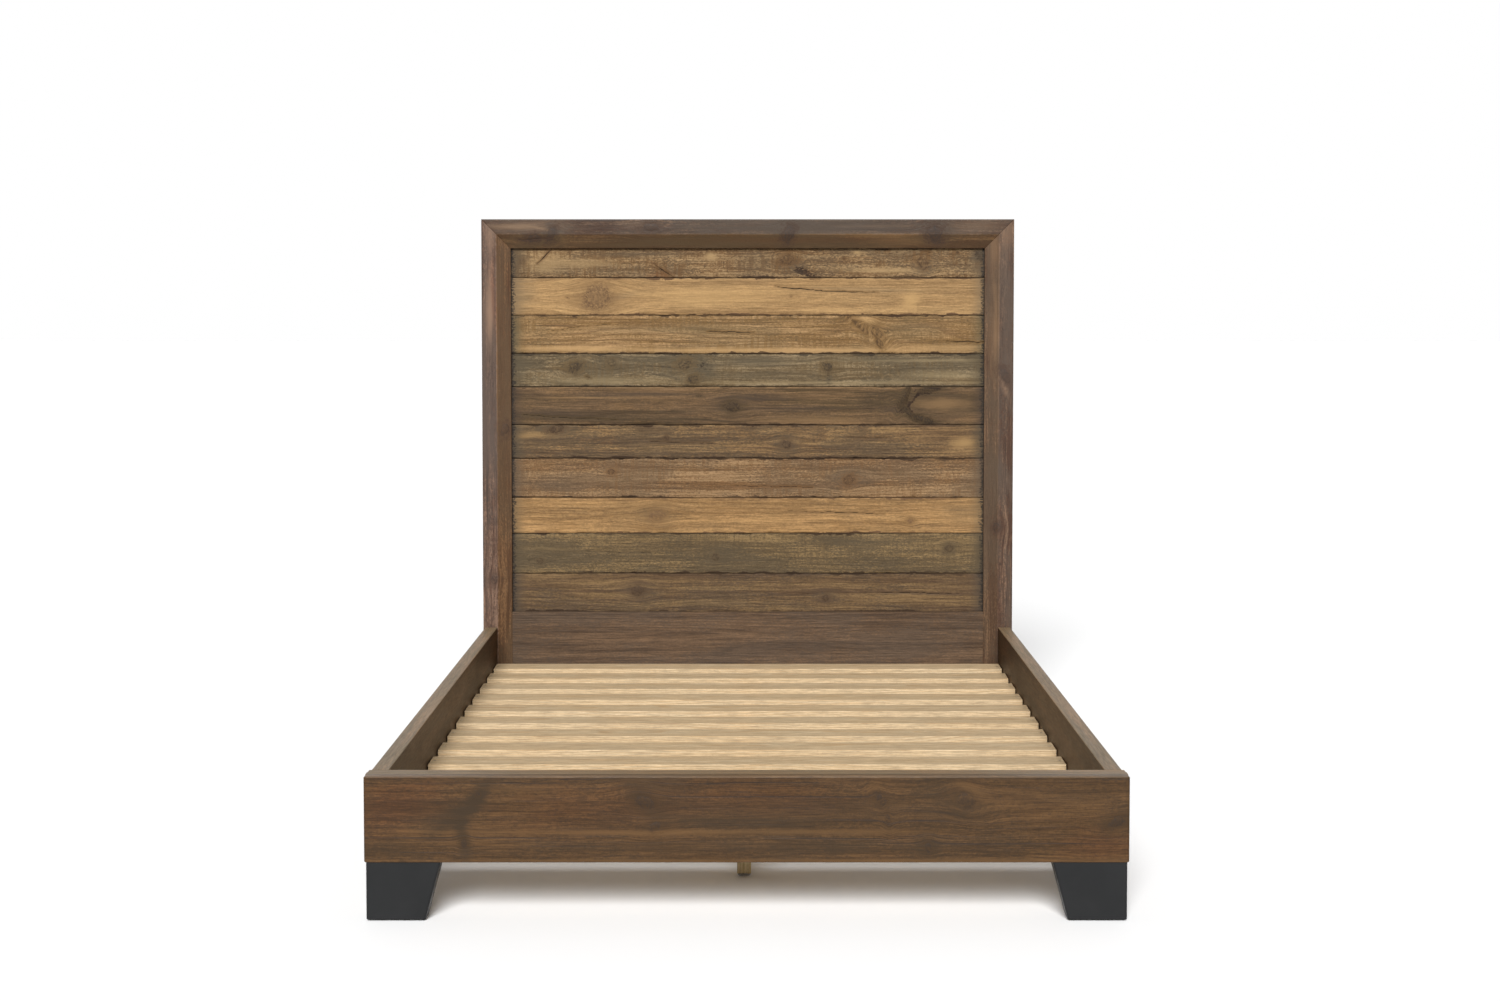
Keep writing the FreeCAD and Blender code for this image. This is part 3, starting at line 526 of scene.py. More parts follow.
# Wood for a CAD board, read from Object coordinates turned so that X runs along the grain.
# Where equal boards lie side by side, pitch folds the across coordinates back onto one board,
# and the number of the board moves the figure along, so that no two look alike.
def solidMaterial(name, settings, along, pitch=(0, 0), centre=(0, 0, 0), specular=0.2, paleAbove=None):
    material, tree, group = woodMaterial(name, settings, 0.5, specular)
    coordinate = tree.nodes.new("ShaderNodeTexCoord").outputs["Object"]
    moved = vectorMaths(tree, "SUBTRACT", coordinate, centre)
    parts = splitVector(tree, moved)
    order = {"X": (0, 1, 2), "Y": (1, 0, 2), "Z": (2, 0, 1)}[along]
    run, across, depth = (parts[i] for i in order)
    shift = 0.0
    folded = []
    for value, step in zip((across, depth), pitch):
        if step:
            number = maths(tree, "ROUND", maths(tree, "DIVIDE", value, step))
            value = maths(tree, "MULTIPLY_ADD", number, -step, value)
            shift = maths(tree, "MULTIPLY_ADD", number, 5.31, shift)
        folded.append(value)
    joined = tree.nodes.new("ShaderNodeCombineXYZ")
    for value, socket in zip((maths(tree, "ADD", run, shift), *folded), joined.inputs):
        plug(tree, value, socket)
    tree.links.new(joined.outputs[0], group.inputs["Grain"])
    if paleAbove:
        # the top edge is painted paler and greyer, a painted highlight and sheen from the light above: the
        # tint follows the height above the floor
        height = splitVector(tree, coordinate)[2]
        extra = tree.nodes.new("ShaderNodeCombineXYZ")
        extra.inputs[1].default_value = 9.0
        tree.links.new(remap(tree, height, paleAbove - 0.002, paleAbove - 0.0004), extra.inputs[2])
        tree.links.new(extra.outputs[0], group.inputs["Extra"])
    return material


def dress(names, material):
    for name in names:
        mesh = nodes[name].data
        mesh.materials.clear()
        mesh.materials.append(material)


plankLooks = {
    "headboard_plank_01": {
        "seed": 3, "light": (0.225, 0.145, 0.07), "dark": (0.095, 0.05, 0.02), "late": (0.075, 0.04, 0.015),
        "grey": (0.07, 0.05, 0.03), "lateShare": 0.25, "band": 0.55, "streak": 0.5, "mottle": 0.7,
        "greyShare": 0.5, "score": 1.0, "ring": 0.006, "pith": (0, 0.05, -0.05),
        "knots": [(0.121, 0.62, 0.02, 0.014, 0.2, 0.0004, 0.85),
            (0.295, 0.65, 0.004, 0.004, 0, 0.0002, 1.0), (0.535, 0.52, 0.014, 0.016, 0, 0.0003, 0.6),
            (0.642, 0.86, 0.004, 0.003, 0, 0.0002, 1.0), (-0.69, 0.55, 0.009, 0.008, 0, 0.0003, 0.5)],
        "cracks": [(-0.598, 0.98, -0.645, 0.48, 0.001), (-0.287, 0.47, -0.227, 0.01, 0.0011),
            (0.535, 0.87, 0.562, 0.87, 0.0004), (-0.3, 0.4, -0.262, 0.22, 0.0003)],
        "darkStains": [(0.15, 0.35, 0.03, 0.02, -0.7, 0.55), (-0.7, 0.7, 0.03, 0.04, 0, 0.6),
            (-0.33, 0.82, 0.16, 0.012, 0, 0.55), (0.02, 0.5, 0.07, 0.05, 0, 0.45),
            (0.705, 0.75, 0.02, 0.03, -1.0, 1.0), (0.54, 0.3, 0.03, 0.02, 0, 0.6)],
        "paleStains": [(-0.112, 0.74, 0.018, 0.01, 0, 0.9), (0.336, 0.86, 0.016, 0.006, 0, 0.8),
            (-0.5, 0.5, 0.09, 0.014, 0, 0.5), (0.42, 0.25, 0.12, 0.008, 0, 0.6),
            (-0.62, 0.5, 0.06, 0.03, 0, 0.5)],
        "redStains": [(-0.265, 0.11, 0.04, 0.01, 0.1, 0.45)],
        "burnStains": [(0.172, 0.2, 0.04, 0.012, -0.3, 0.75), (0.1, 0.55, 0.012, 0.01, 0, 0.4),
            (0.708, 0.75, 0.022, 0.012, -1.0, 0.6), (0.545, 0.4, 0.016, 0.014, 0.5, 0.35)]},
    "headboard_plank_02": {
        "seed": 8, "light": (0.3, 0.185, 0.08), "dark": (0.165, 0.095, 0.04), "late": (0.155, 0.085, 0.03),
        "grey": (0.13, 0.09, 0.05), "knotColour": (0.065, 0.035, 0.02), "lateShare": 0.2, "streak": 0.4,
        "line": 0.18, "mottle": 0.3, "greyShare": 0.12, "score": 0.1, "ring": 0.01, "pith": (0, 0.1, -0.07),
        "knots": [(-0.462, 0.46, 0.04, 0.038, 0.4, 0.0006, 0.75),
            (0.133, 0.5, 0.004, 0.003, 0, 0.0002, 0.9), (-0.55, 0.46, 0.006, 0.003, -0.4, 0.0002, 0.6)],
        "cracks": [(0.083, 0.76, 0.228, 0.655, 0.0011), (0.215, 0.66, 0.4, 0.6, 0.0009)],
        "darkStains": [(-0.46, 0.45, 0.045, 0.042, 0.4, 0.4), (-0.7, 0.6, 0.05, 0.06, 0, 0.5),
            (-0.38, 0.52, 0.04, 0.01, 0.2, 0.35), (0.36, 0.68, 0.2, 0.008, -0.03, 0.35)],
        "paleStains": [(0.5, 0.4, 0.03, 0.025, 0.8, 0.7), (-0.12, 0.5, 0.2, 0.03, 0, 0.5)]},
    "headboard_plank_03": {
        "seed": 15, "light": (0.27, 0.165, 0.075), "dark": (0.125, 0.07, 0.025),
        "late": (0.095, 0.05, 0.02), "grey": (0.085, 0.065, 0.035), "knotColour": (0.035, 0.02, 0.012),
        "lateShare": 0.5, "streak": 0.6, "line": 0.6, "mottle": 0.45, "greyShare": 0.3, "score": 0.85,
        "ring": 0.0052, "pith": (0, 0.02, -0.11),
        "knots": [(0.397, 0.58, 0.024, 0.01, -0.85, 0.0009, 0.7),
            (0.345, 0.7, 0.03, 0.008, -0.75, 0.0003, 0.5), (0.405, 0.26, 0.016, 0.008, -1.0, 0.0005, 0.9),
            (0.68, 0.3, 0.004, 0.003, 0, 0.0002, 1.0), (-0.612, 0.55, 0.003, 0.003, 0, 0.0002, 0.6)],
        "cracks": [(-0.124, 0.58, 0.02, 0.545, 0.0011), (0.6, 0.33, 0.735, 0.3, 0.0011),
            (-0.6, 0.6, -0.48, 0.74, 0.0003), (-0.48, 0.74, -0.42, 0.76, 0.0003)],
        "darkStains": [(0.5, 0.62, 0.09, 0.03, 0, 0.45), (-0.2, 0.62, 0.3, 0.012, 0, 0.35),
            (-0.72, 0.5, 0.02, 0.06, 0, 0.6)],
        "paleStains": [(0.367, 0.9, 0.03, 0.011, -0.5, 1.0), (0.1, 0.09, 0.6, 0.007, 0, 0.8),
            (0.6, 0.18, 0.2, 0.008, 0, 0.5), (-0.55, 0.14, 0.2, 0.008, 0, 0.7)],
        "burnStains": [(0.335, 0.76, 0.045, 0.007, -0.75, 0.45), (0.398, 0.3, 0.026, 0.009, -0.95, 0.6),
            (0.385, 0.52, 0.022, 0.004, -0.9, 0.6), (0.425, 0.58, 0.03, 0.004, 0.3, 0.35)]},
    "headboard_plank_04": {
        "seed": 21, "light": (0.185, 0.135, 0.075), "dark": (0.085, 0.055, 0.025),
        "late": (0.065, 0.045, 0.023), "grey": (0.065, 0.05, 0.03), "knotColour": (0.022, 0.017, 0.013),
        "streak": 0.7, "line": 0.45, "mottle": 0.5, "greyShare": 0.7, "score": 0.7, "ring": 0.0055,
        "pith": (0, -0.02, -0.08), "edgeDirtAndShade": 0.75,
        "knots": [(-0.53, 0.58, 0.021, 0.015, 0.6, 0.0005, 0.9),
            (-0.416, 0.72, 0.013, 0.011, 0, 0.0004, 0.5), (-0.192, 0.67, 0.019, 0.016, 0.2, 0.0006, 0.85),
            (-0.167, 0.22, 0.015, 0.012, 0, 0.0005, 1.0), (0.245, 0.6, 0.016, 0.014, 0, 0.0005, 0.85),
            (-0.49, 0.3, 0.005, 0.004, 0, 0.0002, 0.8), (0.455, 0.63, 0.005, 0.004, 0, 0.0002, 0.5)],
        "cracks": [(-0.5, 0.34, -0.48, 0.26, 0.0005)],
        "darkStains": [(-0.15, 0.55, 0.045, 0.04, 0.3, 0.95), (-0.3, 0.86, 0.12, 0.01, 0, 0.8),
            (0.02, 0.78, 0.13, 0.018, 0, 0.8), (-0.52, 0.62, 0.03, 0.016, 0.8, 0.8),
            (0.25, 0.3, 0.01, 0.03, 0, 0.75), (0.42, 0.86, 0.22, 0.01, 0, 0.6),
            (-0.7, 0.65, 0.03, 0.04, 0, 0.7), (0.05, 0.35, 0.16, 0.014, 0, 0.5)],
        "paleStains": [(0.6, 0.35, 0.12, 0.012, 0, 0.5), (0.5, 0.8, 0.2, 0.004, 0, 0.8),
            (0.3, 0.12, 0.5, 0.005, 0, 0.55), (-0.45, 0.18, 0.18, 0.012, 0, 0.5)],
        "burnStains": [(-0.53, 0.56, 0.016, 0.012, 0.7, 0.7), (-0.167, 0.2, 0.014, 0.009, 0, 0.75),
            (-0.195, 0.66, 0.013, 0.01, 0.8, 0.5), (-0.14, 0.62, 0.03, 0.02, 0, 0.3),
            (0.248, 0.42, 0.006, 0.028, 0, 0.5), (0.24, 0.62, 0.012, 0.008, 0.4, 0.4)]},
    "headboard_plank_05": {
        "seed": 27, "light": (0.145, 0.085, 0.04), "dark": (0.055, 0.035, 0.016),
        "late": (0.045, 0.025, 0.011), "grey": (0.045, 0.03, 0.02), "knotColour": (0.018, 0.012, 0.009),
        "band": 0.75, "line": 0.3, "mottle": 0.25, "greyShare": 0.35, "score": 0.12, "ring": 0.008,
        "pith": (0, 0.0, -0.06), "edgeDirtAndShade": 0.55,
        "knots": [(-0.046, 0.47, 0.022, 0.016, 0, 0.0007, 0.75),
            (0.478, 0.7, 0.022, 0.005, 1.2, 0.0006, 0.9), (0.56, 0.93, 0.03, 0.006, 0.05, 0.0006, 0.9),
            (0.49, 0.34, 0.02, 0.006, -0.8, 0.0006, 0.9), (0.535, 0.14, 0.034, 0.008, -0.25, 0.0008, 0.95),
            (-0.15, 0.76, 0.008, 0.004, 0, 0.0003, 0.6)],
        "cracks": [(0.5, 0.93, 0.485, 0.52, 0.0005), (-0.69, 0.25, -0.4, 0.12, 0.0005)],
        "darkStains": [(0.46, 0.4, 0.05, 0.01, 0, 0.6), (-0.35, 0.8, 0.2, 0.008, 0, 0.6),
            (-0.06, 0.5, 0.05, 0.03, 0, 0.5), (-0.6, 0.3, 0.12, 0.012, -0.06, 0.5),
            (0.02, 0.72, 0.12, 0.012, 0, 0.6), (0.15, 0.42, 0.12, 0.012, 0, 0.5)],
        # the long pale line at share 0.985 is a painted highlight where the plank's top edge catches the
        # light
        "paleStains": [(-0.48, 0.71, 0.15, 0.0022, 0, 1.0), (0.0, 0.985, 0.75, 0.003, 0, 1.0),
            (0.6, 0.55, 0.08, 0.018, 0, 0.7), (0.2, 0.12, 0.16, 0.01, 0, 0.55)],
        "burnStains": [(0.478, 0.5, 0.022, 0.018, 0.1, 0.75), (0.55, 0.89, 0.038, 0.011, 0.1, 0.8),
            (0.49, 0.76, 0.034, 0.005, 1.25, 0.9), (0.5, 0.3, 0.036, 0.008, -0.8, 0.8),
            (0.54, 0.13, 0.04, 0.012, -0.25, 0.9), (0.515, 0.72, 0.026, 0.004, 0.9, 0.6),
            (-0.046, 0.47, 0.02, 0.014, 0, 0.35)]},
    "headboard_plank_06": {
        "seed": 34, "light": (0.19, 0.115, 0.05), "dark": (0.075, 0.045, 0.023),
        "late": (0.065, 0.035, 0.017), "grey": (0.05, 0.04, 0.027), "lateShare": 0.45, "band": 0.65,
        "line": 0.4, "mottle": 0.4, "greyShare": 0.4, "score": 0.3, "ring": 0.006, "pith": (0, 0.03, -0.09),
        "knots": [(-0.587, 0.88, 0.024, 0.012, 0.2, 0.0007, 0.95),
            (0.12, 0.4, 0.014, 0.012, 0, 0.0006, 0.8), (-0.25, 0.6, 0.008, 0.007, 0, 0.0004, 0.8)],
        "cracks": [(-0.3, 0.5, -0.1, 0.44, 0.0005), (0.3, 0.62, 0.44, 0.6, 0.0005)],
        "darkStains": [(-0.6, 0.86, 0.07, 0.02, 0, 0.5), (0.12, 0.4, 0.04, 0.03, 0, 0.5)],
        "paleStains": [(0.665, 0.45, 0.045, 0.016, 0.1, 1.0), (-0.66, 0.7, 0.08, 0.01, 0.15, 0.7)]},
    "headboard_plank_07": {
        "seed": 41, "light": (0.225, 0.14, 0.07), "dark": (0.115, 0.06, 0.025), "late": (0.09, 0.05, 0.02),
        "grey": (0.07, 0.05, 0.033), "band": 0.6, "streak": 0.5, "mottle": 0.6, "greyShare": 0.45,
        "score": 0.6, "ring": 0.007, "pith": (0, 0.06, -0.08),
        "knots": [(0.31, 0.45, 0.017, 0.014, 0.3, 0.0006, 0.8), (-0.42, 0.66, 0.01, 0.009, 0, 0.0005, 0.8)],
        "cracks": [(-0.05, 0.3, 0.2, 0.26, 0.0006)],
        "darkStains": [(0.3, 0.5, 0.06, 0.03, 0, 0.5), (-0.6, 0.3, 0.1, 0.02, 0, 0.4)]},
    "headboard_plank_08": {
        "seed": 49, "light": (0.29, 0.17, 0.07), "dark": (0.15, 0.085, 0.035),
        "late": (0.145, 0.075, 0.025), "grey": (0.11, 0.075, 0.04), "knotColour": (0.09, 0.05, 0.028),
        "lateShare": 0.3, "streak": 0.45, "line": 0.2, "mottle": 0.35, "greyShare": 0.2, "score": 0.2,
        "ring": 0.0085, "pith": (0, -0.03, -0.07),
        "knots": [(-0.28, 0.5, 0.022, 0.018, 0.1, 0.0007, 0.7), (0.5, 0.34, 0.009, 0.008, 0, 0.0004, 0.8)],
        "cracks": [(0.12, 0.62, 0.42, 0.54, 0.0005)],
        "darkStains": [(-0.28, 0.5, 0.05, 0.03, 0, 0.4), (0.66, 0.6, 0.06, 0.03, 0, 0.35)]},
    "headboard_plank_09": {
        "seed": 56, "light": (0.175, 0.115, 0.052), "dark": (0.077, 0.053, 0.028),
        "late": (0.067, 0.043, 0.02), "grey": (0.063, 0.047, 0.028), "band": 0.6, "mottle": 0.6,
        "greyShare": 0.6, "score": 0.7, "ring": 0.006, "pith": (0, 0.02, -0.1),
        "knots": [(0.62, 0.62, 0.014, 0.012, 0, 0.0006, 0.8), (-0.1, 0.4, 0.012, 0.01, 0.3, 0.0005, 0.8),
            (-0.64, 0.3, 0.009, 0.009, 0, 0.0004, 0.8)],
        "cracks": [(-0.5, 0.55, -0.3, 0.5, 0.0006)],
        "darkStains": [(-0.08, 0.45, 0.07, 0.03, 0.2, 0.6), (0.35, 0.8, 0.16, 0.012, 0, 0.5)]},
    "headboard_plank_10": {
        "seed": 62, "light": (0.16, 0.1, 0.045), "dark": (0.07, 0.042, 0.023), "late": (0.06, 0.033, 0.016),
        "grey": (0.05, 0.038, 0.027), "lateShare": 0.4, "band": 0.65, "line": 0.3, "mottle": 0.35,
        "greyShare": 0.4, "score": 0.3, "ring": 0.0075, "pith": (0, 0.04, -0.07),
        "knots": [(-0.34, 0.55, 0.018, 0.015, 0, 0.0007, 0.8), (0.24, 0.35, 0.01, 0.009, 0, 0.0005, 0.8)],
        "cracks": [(0.4, 0.5, 0.66, 0.46, 0.0005)],
        "darkStains": [(-0.33, 0.5, 0.06, 0.03, 0, 0.5), (0.24, 0.4, 0.04, 0.02, 0, 0.4)]},
}
plankCommon = {
    "swell": 0.0005, "rough": 0.00022, "ragged": 0.0012, "step": 0.0027, "across": 0.0027, "coarse": 0.012,
    "edgeRadius": 0.0011, "edgeDirtAndShade": 0.88, "dirtAndShadeReach": 0.0017, "endShade": 1.0, "endAt": 0.7245,
    "tintAndHighlight": (0.36, 0.31, 0.32), "sheenLow": 0.55, "sheenHigh": 0.78,
    "knotColour": (0.03, 0.018, 0.011), "tongue": 0.007, "tongueHalf": 0.003, "sideSlack": 0.0002,
    "endSlack": 0.001, "hidden": 0.01, "lateShare": 0.35, "band": 0.5, "streak": 0.55, "line": 0.35,
}


# which value of a look feeds which socket of the finish
finishSockets = {
    "Pith": "pith", "Ring Width": "ring", "Light": "light", "Dark": "dark", "Late Wood": "late",
    "Grey": "grey", "Knot": "knotColour", "Tint And Highlight": "tintAndHighlight", "Late Share": "lateShare",
    "Band Share": "band", "Streak Share": "streak", "Line Share": "line", "Mottle Share": "mottle",
    "Grey Share": "greyShare", "Score Share": "score", "Edge Dirt And Shade": "edgeDirtAndShade", "Edge Reach": "dirtAndShadeReach",
    "End Shade": "endShade", "Sheen Low": "sheenLow", "Sheen High": "sheenHigh"}


def finishSettings(look, pith):
    return {socket: pith if key == "pith" else look[key] for socket, key in finishSockets.items()}


# A plank keeps its CAD box: face, tongue and groove in one section, swept along X.
def makePlank(name, look):
    low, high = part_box(name)
    common = plankCommon
    look = {**common, **look}
    first, last = name.endswith("01"), name.endswith("10")
    front, back = low.y, high.y
    thick = back - front
    r = common["edgeRadius"]
    top = high.z if first else high.z - common["tongue"]
    middle, half = back - thick / 2, common["tongueHalf"]
    fine, coarse = common["across"], common["coarse"]
    if first:
        upper = [(top, front, r), (top, back, 0)]
        upperSteps = [coarse, coarse]
    else:
        upper = [(top, front, r), (top, middle - half, 0), (high.z, middle - half, 0),
                 (high.z, middle + half, 0), (top, middle + half, 0), (top, back, 0)]
        upperSteps = [coarse] * 6
    if last:
        lower = [(low.z, back, 0), (low.z, front, r)]
        lowerSteps = [coarse, fine]
    else:
        slack, deep = half + common["sideSlack"], low.z + common["tongue"] + common["endSlack"]
        lower = [(low.z, back, 0), (low.z, middle + slack, 0), (deep, middle + slack, 0),
                 (deep, middle - slack, 0), (low.z, middle - slack, 0), (low.z, front, r)]
        lowerSteps = [coarse] * 5 + [fine]
    # depth is measured forwards, so that the face has the largest value
    corners = [(z, -y, radius) for z, y, radius in upper + lower]
    outline = roundedOutline(corners, upperSteps + lowerSteps)
    starts = np.full(len(outline), low.x)
    stops = np.full(len(outline), high.x)
    # the face of the first and last planks stops where the rails cover it, so the edge darkening lies on
    # the visible edge: a painted shadow line under the top rail, a dark line along the bottom rail
    piece = board(name + "_face", outline, starts, stops,
                  lambda along, across, depth: np.stack([along, -depth, across], -1),
                  {**look, "faceLow": low.z + (common["hidden"] if last else 0),
                   "faceHigh": top - (common["hidden"] if first else 0)}, name)
    grainPith = (0, (low.z + high.z) / 2 + look["pith"][1], -(front + back) / 2 + look["pith"][2])
    settings = finishSettings(look, grainPith)
    piece.data.materials.append(boardMaterial(name + "_wood", settings, relief=0.7))


for name, look in plankLooks.items():
    makePlank(name, look)
print("planks made")


frameLook = {
    "flat": 0.046, "drop": 0.014, "recess": 0.024, "grooveBack": 0.04425, "groove": 0.012, "slack": 0.00025,
    "outerRadius": 0.003, "arris": 0.006, "innerRadius": 0.0015, "backRadius": 0.003,
    "tintAndHighlightAt": (0.04, 0.052), "fine": 0.0028, "coarse": 0.012, "step": 0.0032, "swell": 0.0007,
    "rough": 0.00008, "light": (0.13, 0.08, 0.05), "dark": (0.046, 0.023, 0.013),
    "late": (0.045, 0.02, 0.011), "grey": (0.06, 0.042, 0.03), "knotColour": (0.025, 0.018, 0.014),
    "tintAndHighlight": (1.1, 0.94, 0.62), "lateShare": 0.55, "band": 0.85, "streak": 0.8, "line": 0.7,
    "mottle": 0.65, "greyShare": 0.7, "score": 0.3, "ring": 0.0065, "pith": (0, 0.02, -0.09), "edgeDirtAndShade": 0.0,
    "dirtAndShadeReach": 0.003, "endShade": 0.0, "sheenLow": 0.42, "sheenHigh": 0.6,
}
frameMarks = {
    "headboard_top_rail": {
        "seed": 71, "tint": (0.85, 0.85, 0.82),
        "knots": [(-0.295, 0.28, 0.022, 0.013, 0, 0.0005, 0.6),
            (0.125, 0.52, 0.015, 0.024, 0.3, 0.0005, 0.8), (0.571, 0.52, 0.02, 0.026, -0.3, 0.0006, 0.9),
            (-0.655, 0.66, 0.02, 0.01, -0.2, 0.0005, 0.9), (-0.6, 0.52, 0.012, 0.022, 0.4, 0.0005, 0.7)],
        "cracks": [(-0.7, 0.72, -0.6, 0.66, 0.0004)],
        "darkStains": [(-0.63, 0.68, 0.055, 0.018, -0.3, 1.0), (-0.59, 0.4, 0.04, 0.014, 0.9, 0.9),
            (0.1, 0.24, 0.34, 0.024, 0, 0.9), (-0.12, 0.75, 0.28, 0.018, 0, 0.7),
            (0.0, 0.8, 0.55, 0.016, 0, 0.55), (0.125, 0.4, 0.05, 0.034, 0, 0.8),
            (0.57, 0.4, 0.05, 0.04, 0, 0.9), (-0.45, 0.9, 0.2, 0.008, 0, 0.5)],
        "paleStains": [(0.69, 0.24, 0.09, 0.02, 0, 0.45), (-0.66, 0.24, 0.13, 0.02, 0, 0.5),
            (0.46, 0.76, 0.1, 0.014, 0, 0.5), (-0.34, 0.22, 0.05, 0.012, 0, 0.35),
            (-0.72, 0.26, 0.07, 0.008, 0, 0.6), (-0.62, 0.35, 0.05, 0.004, 0.2, 0.6),
            (-0.575, 0.55, 0.03, 0.007, 0.9, 0.7), (0.2, 0.52, 0.5, 0.0018, 0, 0.8),
            (0.25, 0.24, 0.3, 0.004, 0, 0.5), (0.4, 0.56, 0.12, 0.006, 0, 0.6)],
        "redStains": [(0.1, 0.72, 0.25, 0.01, 0, 0.5)]},
    "headboard_stile_left": {
        "seed": 78, "tint": (1.1, 1.08, 1.15),
        "knots": [(0.922, 0.8, 0.02, 0.012, 0.3, 0.0006, 0.5), (0.46, 0.4, 0.015, 0.012, 0, 0.0005, 0.7)],
        "darkStains": [(0.9, 0.22, 0.12, 0.024, 0, 1.0), (0.93, 0.75, 0.05, 0.016, 0.2, 0.9),
            (1.36, 0.62, 0.12, 0.012, 0, 0.7), (1.12, 0.85, 0.12, 0.01, 0, 0.7),
            (1.2, 0.08, 0.12, 0.01, 0, 0.4), (0.96, 0.85, 0.05, 0.012, 0, 0.5),
            (1.05, 0.06, 0.2, 0.008, 0, 0.6)],
        "paleStains": [(1.2, 0.52, 0.3, 0.0018, 0, 0.7), (1.27, 0.22, 0.09, 0.014, 0, 0.45),
            (1.3, 0.3, 0.12, 0.01, 0, 0.6), (1.52, 0.3, 0.05, 0.016, 0, 0.6)],
        "redStains": [(1.33, 0.42, 0.1, 0.008, -0.05, 0.6)]},
    "headboard_stile_right": {
        "seed": 85, "tint": (1.05, 1.02, 1.0), "tintAndHighlight": (1.05, 1.0, 0.86),
        "knots": [(1.085, 0.3, 0.024, 0.014, 0.5, 0.0006, 0.7), (0.62, 0.55, 0.015, 0.012, 0, 0.0005, 0.7)],
        "darkStains": [(1.09, 0.2, 0.05, 0.024, 0.4, 1.0), (0.8, 0.7, 0.06, 0.03, 0, 0.8),
            (1.4, 0.86, 0.15, 0.006, 0, 0.6), (1.28, 0.2, 0.16, 0.016, 0, 0.7),
            (1.0, 0.75, 0.06, 0.012, 0.1, 0.6)],
        "paleStains": [(1.2, 0.52, 0.3, 0.0018, 0, 0.6), (1.52, 0.22, 0.05, 0.02, 0, 0.5),
            (1.2, 0.76, 0.12, 0.012, 0, 0.4), (1.47, 0.72, 0.07, 0.016, 0, 0.7),
            (1.2, 0.62, 0.12, 0.006, 0, 0.7), (1.33, 0.66, 0.06, 0.006, 0.1, 0.4),
            (1.06, 0.35, 0.04, 0.008, 0.3, 0.8)]},
}


# Flat outer band, bevel falling back to the panel, groove for the planks, flat back. The across
# value is measured in from the outer edge, and the depth forwards from the back.
def frameSection(width, thick):
    v = frameLook
    grooveFront, grooveBack = thick - v["recess"] + v["slack"], thick - v["grooveBack"]
    corners = [(0, thick, v["outerRadius"]), (v["flat"], thick, v["arris"]),
               (width, thick - v["drop"], v["innerRadius"]), (width, grooveFront, 0),
               (width - v["groove"], grooveFront, 0), (width - v["groove"], grooveBack, 0),
               (width, grooveBack, 0), (width, 0, 0.001), (0, 0, v["backRadius"])]
    steps = [v["fine"], v["fine"], 0.004] + [v["coarse"]] * 6
    return roundedOutline(corners, steps)


def makeFrameMember(name):
    low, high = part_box(name)
    marks = frameMarks[name]
    look = {**frameLook, **marks}
    for shade in ("light", "dark", "late", "grey"):
        look[shade] = tuple(a * b for a, b in zip(look[shade], marks["tint"]))
    thick = high.y - low.y
    isRail = name.endswith("rail")
    width = (high.z - low.z) if isRail else (high.x - low.x)
    outline = frameSection(width, thick)
    inward = outline[:, 0]
    if isRail:
        starts, stops = low.x + inward, high.x - inward
        place = lambda along, across, depth: np.stack([along, high.y - depth, high.z - across], -1)
    else:
        starts, stops = np.full(len(outline), low.z), high.z - inward
        outer, way = (low.x, 1) if "left" in name else (high.x, -1)
        place = lambda along, across, depth: np.stack([outer + way * across, high.y - depth, along], -1)
    piece = board(name + "_face", outline, starts, stops, place, look, name, endRound=0)
    settings = finishSettings(look, (0, width / 2 + look["pith"][1], look["pith"][2]))
    piece.data.materials.append(boardMaterial(name + "_wood", settings, relief=0.35, specular=0.2))


for name in frameMarks:
    makeFrameMember(name)
print("headboard frame made")


